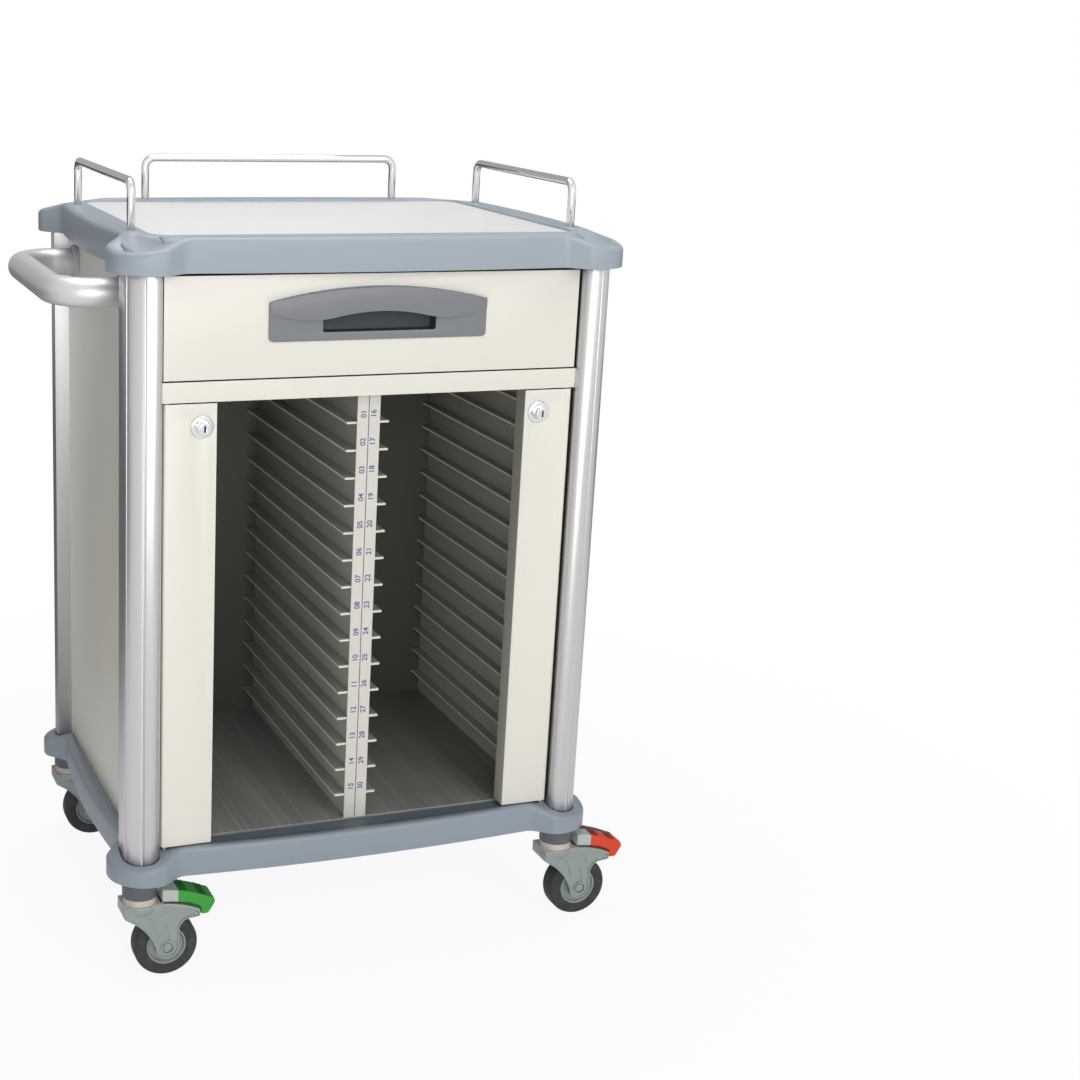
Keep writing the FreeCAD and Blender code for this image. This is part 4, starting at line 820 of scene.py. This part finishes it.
class CHARTRACK_OT_carcass(ChartRackOperator):
    """Dress the posts, panels, floor, deck and cross rail"""
    bl_idname = "chartrack.carcass"
    bl_label = "Posts and panels"

    def make(self, size):
        for corner in CORNERS:
            finished(f"post_{corner}", size.fine_edge)
        for node in ("side_panel_left", "side_panel_right"):
            finished(node, size.edge)
        # The cross rail's narrow sides get near black: painted shade in the gaps around it.
        recoloured(finished("cross_rail", size.edge), "seal", on_gap_shade_side)
        back = finished("back_panel", size.edge)
        # The back panel's face towards the bays gets dark grey: painted shade at the bays' back.
        recoloured(back, "bay_back", lambda centre, normal: normal.y < -SQUARE)
        for node in ("floor_plate", "drawer_deck"):
            finished(node, size.fine_edge)


class CHARTRACK_OT_bays(ChartRackOperator):
    """Dress the runner walls, the divider, the index strip and the chart runners"""
    bl_idname = "chartrack.bays"
    bl_label = "Chart bays"

    def make(self, size):
        for node in ("runner_wall_left", "runner_wall_right", "divider_core"):
            finished(node, size.fine_edge)
        finished("index_strip", size.fine_edge)
        self.make_runners(size)
        self.make_index(size)

    def make_runners(self, size):
        """Rows of runners at the places, and in the number, that the nodes give."""
        for side in SIDES:
            points = corners_of(f"chart_runners_{side}")
            heights, across = levels(points, "z"), levels(points, "x")
            thickness, pitch = heights[1] - heights[0], heights[2] - heights[0]
            rows = []
            for number, (near, far) in enumerate((across[:2], across[2:])):
                inside = [spot for spot in points if near <= round(spot.x, DECIMALS) <= far]
                depth = levels(inside, "y")
                front, back = depth[0], depth[-1]
                sample = block(f"runner_{side}_{number}", (near, front, 0),
                               (far, back, thickness), [("y", front + size.tip_length)])
                eased(sample, size.edge)
                rows.append(in_a_row(f"runners_{side}_{number}", sample, len(heights) // 2,
                                     (0, 0, heights[0]), (0, 0, pitch), "runner"))
            piece = joined(f"chart_runners_{side}_finished", rows, "runner")
            # Side faces and front ends of the runners get near-white colours as painted highlights; the tops keep
            # the darker colour as painted shade.
            recoloured(piece, "runner_edge", lambda centre, normal: abs(normal.x) > RUNNER_HIGHLIGHT_SIDE)
            recoloured(piece, "runner_tip",
                       lambda centre, normal: centre.y < front + size.tip_length)
            fitted(piece, "cabinet", [f"chart_runners_{side}"])

    def make_index(self, size):
        """Two columns of figures, which read upwards, and the line between them."""
        low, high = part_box("index_strip")
        heights = levels(corners_of("chart_runners_left"), "z")[1::2]
        face = low.y - INK_LIFT
        turn = Matrix.Rotation(math.pi / 2, 4, "X") @ Matrix.Rotation(math.pi / 2, 4, "Z")
        prints = []
        for column, step in enumerate((-size.figure_step, size.figure_step)):
            for row, height in enumerate(reversed(heights)):
                figure = self.figure(row + 1 + column * len(heights), size)
                place = Matrix.Translation((step, face, height + size.figure_lift))
                figure.data.transform(place @ turn)
                prints.append(figure)
        half = size.line_width / 2
        prints.append(block("index_line", (-half, face, low.z + LINE_MARGIN),
                            (half, low.y, high.z - LINE_MARGIN)))
        fitted(joined("index_figures", prints, "ink"), "cabinet")

    def figure(self, number, size):
        """One number of the index, flat at the origin."""
        text = bpy.data.curves.new(f"figure_{number}", "FONT")
        text.body = f"{number:02d}"
        text.align_x = "CENTER"
        text.align_y = "CENTER"
        text.size = size.figure_height * FONT_PER_FIGURE
        text.extrude = INK_HALF_DEPTH
        text.offset = INK_SPREAD
        sample = new_object(f"figure_{number}", text)
        graph = bpy.context.evaluated_depsgraph_get()
        mesh = bpy.data.meshes.new_from_object(sample.evaluated_get(graph))
        bpy.data.objects.remove(sample)
        return new_object(f"figure_{number}", mesh)


class CHARTRACK_OT_rails(ChartRackOperator):
    """Dress the guard rails, the push handle and its collars"""
    bl_idname = "chartrack.rails"
    bl_label = "Rails and handle"

    def make(self, size):
        for node in ("guard_rail_left", "guard_rail_right", "guard_rail_rear", "push_handle",
                     "handle_collars"):
            finished(node, size.fine_edge, angle=RAIL_ANGLE)


class CHARTRACK_OT_drawer(ChartRackOperator):
    """Dress the drawer front, box, pull and slides"""
    bl_idname = "chartrack.drawer"
    bl_label = "Drawer"

    def make(self, size):
        # The drawer front's narrow sides get near black: painted shade in the gaps around it.
        recoloured(finished("drawer_front", size.edge), "seal", on_gap_shade_side)
        finished("drawer_box", size.fine_edge)
        pull = finished("drawer_pull", size.edge, angle=PULL_ANGLE)
        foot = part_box("drawer_pull")[0].z
        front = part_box("drawer_front")[0].y
        # Faces inside the pocket and under the hood get the dark colour: painted shade.
        recoloured(pull, "pocket", lambda centre, normal: (
            (centre.y > front + POCKET_INSET and normal.y < SQUARE)
            or (normal.z < HOOD_UNDERSIDE and centre.z > foot + HOOD_RISE)))
        for node in ("slide_channels", "slide_rails"):
            finished(node, size.fine_edge)


class CHARTRACK_OT_bars(ChartRackOperator):
    """Dress the locking bars, their hinge pins and locks"""
    bl_idname = "chartrack.bars"
    bl_label = "Locking bars"

    def make(self, size):
        for side in SIDES:
            bar = finished(f"locking_bar_{side}", size.edge)
            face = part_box(f"locking_bar_{side}")[0].y
            # The bar's return flange, behind its front sheet, gets the bay walls' grey: painted shade on the
            # return.
            recoloured(bar, "dark_sheet", lambda centre, normal: centre.y > face + BAR_SHEET)
            # The bar's top, bottom and outer side get near black: painted shade in the gaps around it.
            recoloured(bar, "seal", lambda centre, normal: (
                abs(normal.z) > SQUARE or normal.x * SIDES[side] > SQUARE))
            for part in ("hinge_pins", "lock_barrel", "lock_cam"):
                finished(f"{part}_{side}", size.fine_edge)
            plug = finished(f"lock_plug_{side}", size.fine_edge)
            low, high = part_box(f"lock_plug_{side}")
            middle = (low + high) / 2
            # Faces inside the key slot get near black: painted shade in the slot.
            recoloured(plug, "keyway", lambda centre, normal: (
                low.y + KEYWAY_DEPTH[0] < centre.y < low.y + KEYWAY_DEPTH[1]
                and abs(centre.x - middle.x) < KEYWAY_HALF.x
                and abs(centre.z - middle.z) < KEYWAY_HALF.z))


class CHARTRACK_OT_casters(ChartRackOperator):
    """Dress the casters and the brake pedals"""
    bl_idname = "chartrack.casters"
    bl_label = "Casters"

    def make(self, size):
        finished("caster_stems", size.fine_edge, "stem_collar")
        for corner in CORNERS:
            for part in ("caster_hub", "caster_tyre"):
                finished(f"{part}_{corner}", size.fine_edge)
            finished(f"caster_axle_{corner}", size.fine_edge, "fork")
            fork = finished(f"caster_fork_{corner}", size.fine_edge)
            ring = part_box(f"caster_fork_{corner}")[1].z - BEARING_HEIGHT
            recoloured(fork, "bearing", lambda centre, normal: centre.z > ring)
            # The steep sides of the fork's ribs get the darker grey: painted shade outlining the relief.
            recoloured(fork, "fork_edge", lambda centre, normal: (
                abs(normal.y) < FORK_RIB_SIDE and centre.z < ring - FORK_RIBS_DROP))
        for side in SIDES:
            self.make_pedal(size, f"front_{side}")

    def make_pedal(self, size, corner):
        """A pedal with a rounded pad and a group of fine ribs near each of the pad's ends."""
        node = f"brake_pedal_{corner}"
        low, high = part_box(node)
        middle = (low.y + high.y) / 2
        pedal = new_object(f"{node}_finished", merged_copy(node))
        remesh = pedal.modifiers.new("one skin", "REMESH")
        remesh.mode = "VOXEL"
        remesh.voxel_size = size.pedal_grain
        remesh.use_smooth_shade = True
        self.smoothed(settled(pedal), SKIN_ROUNDS, lambda spot: True)
        self.smoothed(pedal, PAD_ROUNDS, lambda spot: (
            spot.x > low.x + size.pad_start
            and low.y + size.pin_reach < spot.y < high.y - size.pin_reach))
        pedal.data.materials.append(FINISHES[SLOT_OF[node]])
        fitted(pedal, BODY_OF[node], [node])

        finish = f"{SLOT_OF[node]}_rib"
        reach = (size.rib_count - 1) * size.rib_pitch
        far = middle + size.tread_start if corner == "front_right" else high.y - size.rib_margin
        starts = (low.x + size.pedal_arm + RIBS_FROM_ARM, high.x - RIBS_FROM_END - reach)
        rows = []
        for number, start in enumerate(starts):
            first, last = (self.on_top(pedal, x, middle, high.z) for x in (start, start + reach))
            sample = block(
                f"rib_{corner}_{number}",
                (-size.rib_width / 2, low.y + size.rib_margin, -size.rib_height),
                (size.rib_width / 2, far - size.rib_margin / 2, size.rib_height))
            eased(sample, size.rib_width / 3)
            slope = math.atan2(first.z - last.z, reach)
            sample.data.transform(Matrix.Rotation(slope, 4, "Y"))
            rows.append(in_a_row(f"ribs_{corner}_{number}", sample, size.rib_count,
                                 (first.x, 0, first.z), (last - first) / (size.rib_count - 1),
                                 finish))
        fitted(joined(f"pedal_ribs_{corner}", rows, finish), BODY_OF[node])

    def smoothed(self, piece, times, chosen):
        """Relaxes the chosen part of a piece's surface."""
        group = piece.vertex_groups.new(name="chosen")
        picked = [vertex.index for vertex in piece.data.vertices if chosen(vertex.co)]
        group.add(picked, 1.0, "REPLACE")
        smooth = piece.modifiers.new("rounded", "SMOOTH")
        smooth.iterations = times
        smooth.vertex_group = group.name
        settled(piece)
        piece.vertex_groups.clear()

    def on_top(self, piece, x, y, above):
        """The point of a piece's top at a place in plan."""
        found, spot, _, _ = piece.ray_cast((x, y, above + 1 * MM), (0, 0, -1))
        if not found:
            raise RuntimeError(f"nothing of {piece.name} lies under x {x:.4f}")
        return spot


class CHARTRACK_OT_back(ChartRackOperator):
    """Dress the screws of the back panel"""
    bl_idname = "chartrack.back"
    bl_label = "Back screws"

    def make(self, size):
        finished("rear_screws", size.fine_edge)


class CHARTRACK_OT_stage(ChartRackOperator):
    """Make the floor, the studio lights and the camera"""
    bl_idname = "chartrack.stage"
    bl_label = "Stage"

    def make(self, size):
        self.make_floor()
        self.make_lights()
        self.make_world()
        self.make_camera()

    def make_floor(self):
        """A white floor that keeps the rack's shadow and fades into the white behind it."""
        colours = bpy.context.scene.chart_rack_colours
        finish = Finish("studio_floor_finish", colours.floor, 0.9)
        mirrored = finish.ray("Glossy")
        behind = finish.ramp(finish.axis("y"), *FLOOR_MIRRORED_FADE)
        finish.set("Base Color", finish.mixed(
            mirrored * behind * FLOOR_MIRRORED, colours.floor, colours.floor_mirrored))
        ahead = mirrored * (1 - behind) * FLOOR_MIRRORED_GLOW
        away = finish.node("ShaderNodeVectorMath", {"operation": "LENGTH"}, finish.place(),
                           result="Value")
        far = FLOOR_GLOW + finish.ramp(away, *FLOOR_GLOW_FADE) * (1 - FLOOR_GLOW)
        glow = finish.node("ShaderNodeEmission", {}, Color=(1, 1, 1, 1), Strength=1.0)
        seen = finish.larger(finish.ray("Camera"), ahead)
        lit = Wire(finish, finish.shader.outputs[0])
        finish.feed(finish.output.inputs[0],
                    finish.node("ShaderNodeMixShader", {}, far * seen, lit, glow))
        floor = block("studio_floor", (-FLOOR_HALF, -FLOOR_HALF, -FLOOR_DEPTH),
                      (FLOOR_HALF, FLOOR_HALF, 0))
        floor.data.materials.append(finish.material)

    def make_lights(self):
        for name, (spot, aim, across, power) in LAMPS.items():
            lamp = bpy.data.lights.new(f"studio_{name}", "AREA")
            lamp.shape = "SQUARE"
            lamp.size = across
            lamp.energy = power
            lamp.color = LAMP_COLOUR
            item = new_object(f"studio_{name}", lamp)
            item.location = spot
            heading = Vector(aim) - Vector(spot)
            item.rotation_euler = heading.to_track_quat("-Z", "Y").to_euler()

    def make_world(self):
        """White to the eye, dim as a light, and greyer behind the rack to its bright metal."""
        world = bpy.data.worlds.new("studio_world")
        bpy.context.scene.world = world
        world.use_nodes = True
        sky = Shading(world.node_tree)
        camera = sky.ray("Camera")
        seen = sky.larger(camera, sky.larger(sky.ray("Glossy"), sky.ray("Transmission")))
        heading = sky.node("ShaderNodeTexCoord", {}, result="Generated")
        depth = sky.node("ShaderNodeSeparateXYZ", {}, heading, result="Y")
        bright = sky.larger(sky.ramp(depth, *SKY_FADE, 1.0, SKY_BEHIND), camera)
        strength = sky.node("ShaderNodeMapRange", {}, seen, 0.0, 1.0, SKY_FILL, bright)
        light = sky.node("ShaderNodeBackground", {}, Color=(1, 1, 1, 1), Strength=strength)
        sky.feed(sky.tree.nodes.new("ShaderNodeOutputWorld").inputs[0], light)

    def make_camera(self):
        """The eye stands in front and to the left of the rack, a little above its worktop."""
        yaw, pitch, roll = CAMERA_YAW, CAMERA_PITCH, CAMERA_ROLL
        level = Vector((math.cos(yaw), -math.sin(yaw), 0))
        ahead = Vector((math.sin(yaw), math.cos(yaw), 0))
        forward = math.cos(pitch) * ahead - math.sin(pitch) * AXES["z"]
        upright = level.cross(forward)
        right = math.cos(roll) * level + math.sin(roll) * upright
        up = math.cos(roll) * upright - math.sin(roll) * level
        camera = bpy.data.cameras.new("studio_camera")
        camera.sensor_width = CAMERA_SENSOR
        camera.lens = CAMERA_SENSOR * CAMERA_FOCAL / CAMERA_FRAME
        camera.shift_x, camera.shift_y = CAMERA_SHIFT
        item = new_object("studio_camera", camera)
        axes = Matrix((right, up, -forward)).transposed().to_4x4()
        item.matrix_world = Matrix.Translation(CAMERA_SPOT) @ axes
        bpy.context.scene.camera = item


OPERATORS = (
    CHARTRACK_OT_finishes, CHARTRACK_OT_mouldings, CHARTRACK_OT_carcass, CHARTRACK_OT_bays,
    CHARTRACK_OT_rails, CHARTRACK_OT_drawer, CHARTRACK_OT_bars, CHARTRACK_OT_casters,
    CHARTRACK_OT_back, CHARTRACK_OT_stage,
)


class CHARTRACK_PT_panel(bpy.types.Panel):
    """The rack's operators, colours and sizes"""
    bl_idname = "CHARTRACK_PT_panel"
    bl_label = "Chart Rack"
    bl_space_type = "VIEW_3D"
    bl_region_type = "UI"
    bl_category = "Chart Rack"

    def draw(self, context):
        for kind in OPERATORS:
            self.layout.operator(kind.bl_idname)
        for group in (context.scene.chart_rack_colours, context.scene.chart_rack_sizes):
            column = self.layout.column(align=True)
            for name in group.bl_rna.properties.keys():
                if name not in ("rna_type", "name"):
                    column.prop(group, name)


CLASSES = (ChartRackColours, ChartRackSizes, *OPERATORS, CHARTRACK_PT_panel)


def register():
    for kind in CLASSES:
        bpy.utils.register_class(kind)
    bpy.types.Scene.chart_rack_colours = PointerProperty(type=ChartRackColours)
    bpy.types.Scene.chart_rack_sizes = PointerProperty(type=ChartRackSizes)


def unregister():
    del bpy.types.Scene.chart_rack_sizes
    del bpy.types.Scene.chart_rack_colours
    for kind in reversed(CLASSES):
        bpy.utils.unregister_class(kind)


def main():
    register()
    bpy.context.scene.view_settings.view_transform = "Standard"
    for kind in OPERATORS:
        group, action = kind.bl_idname.split(".")
        getattr(getattr(bpy.ops, group), action)()


if __name__ == "__main__":
    main()
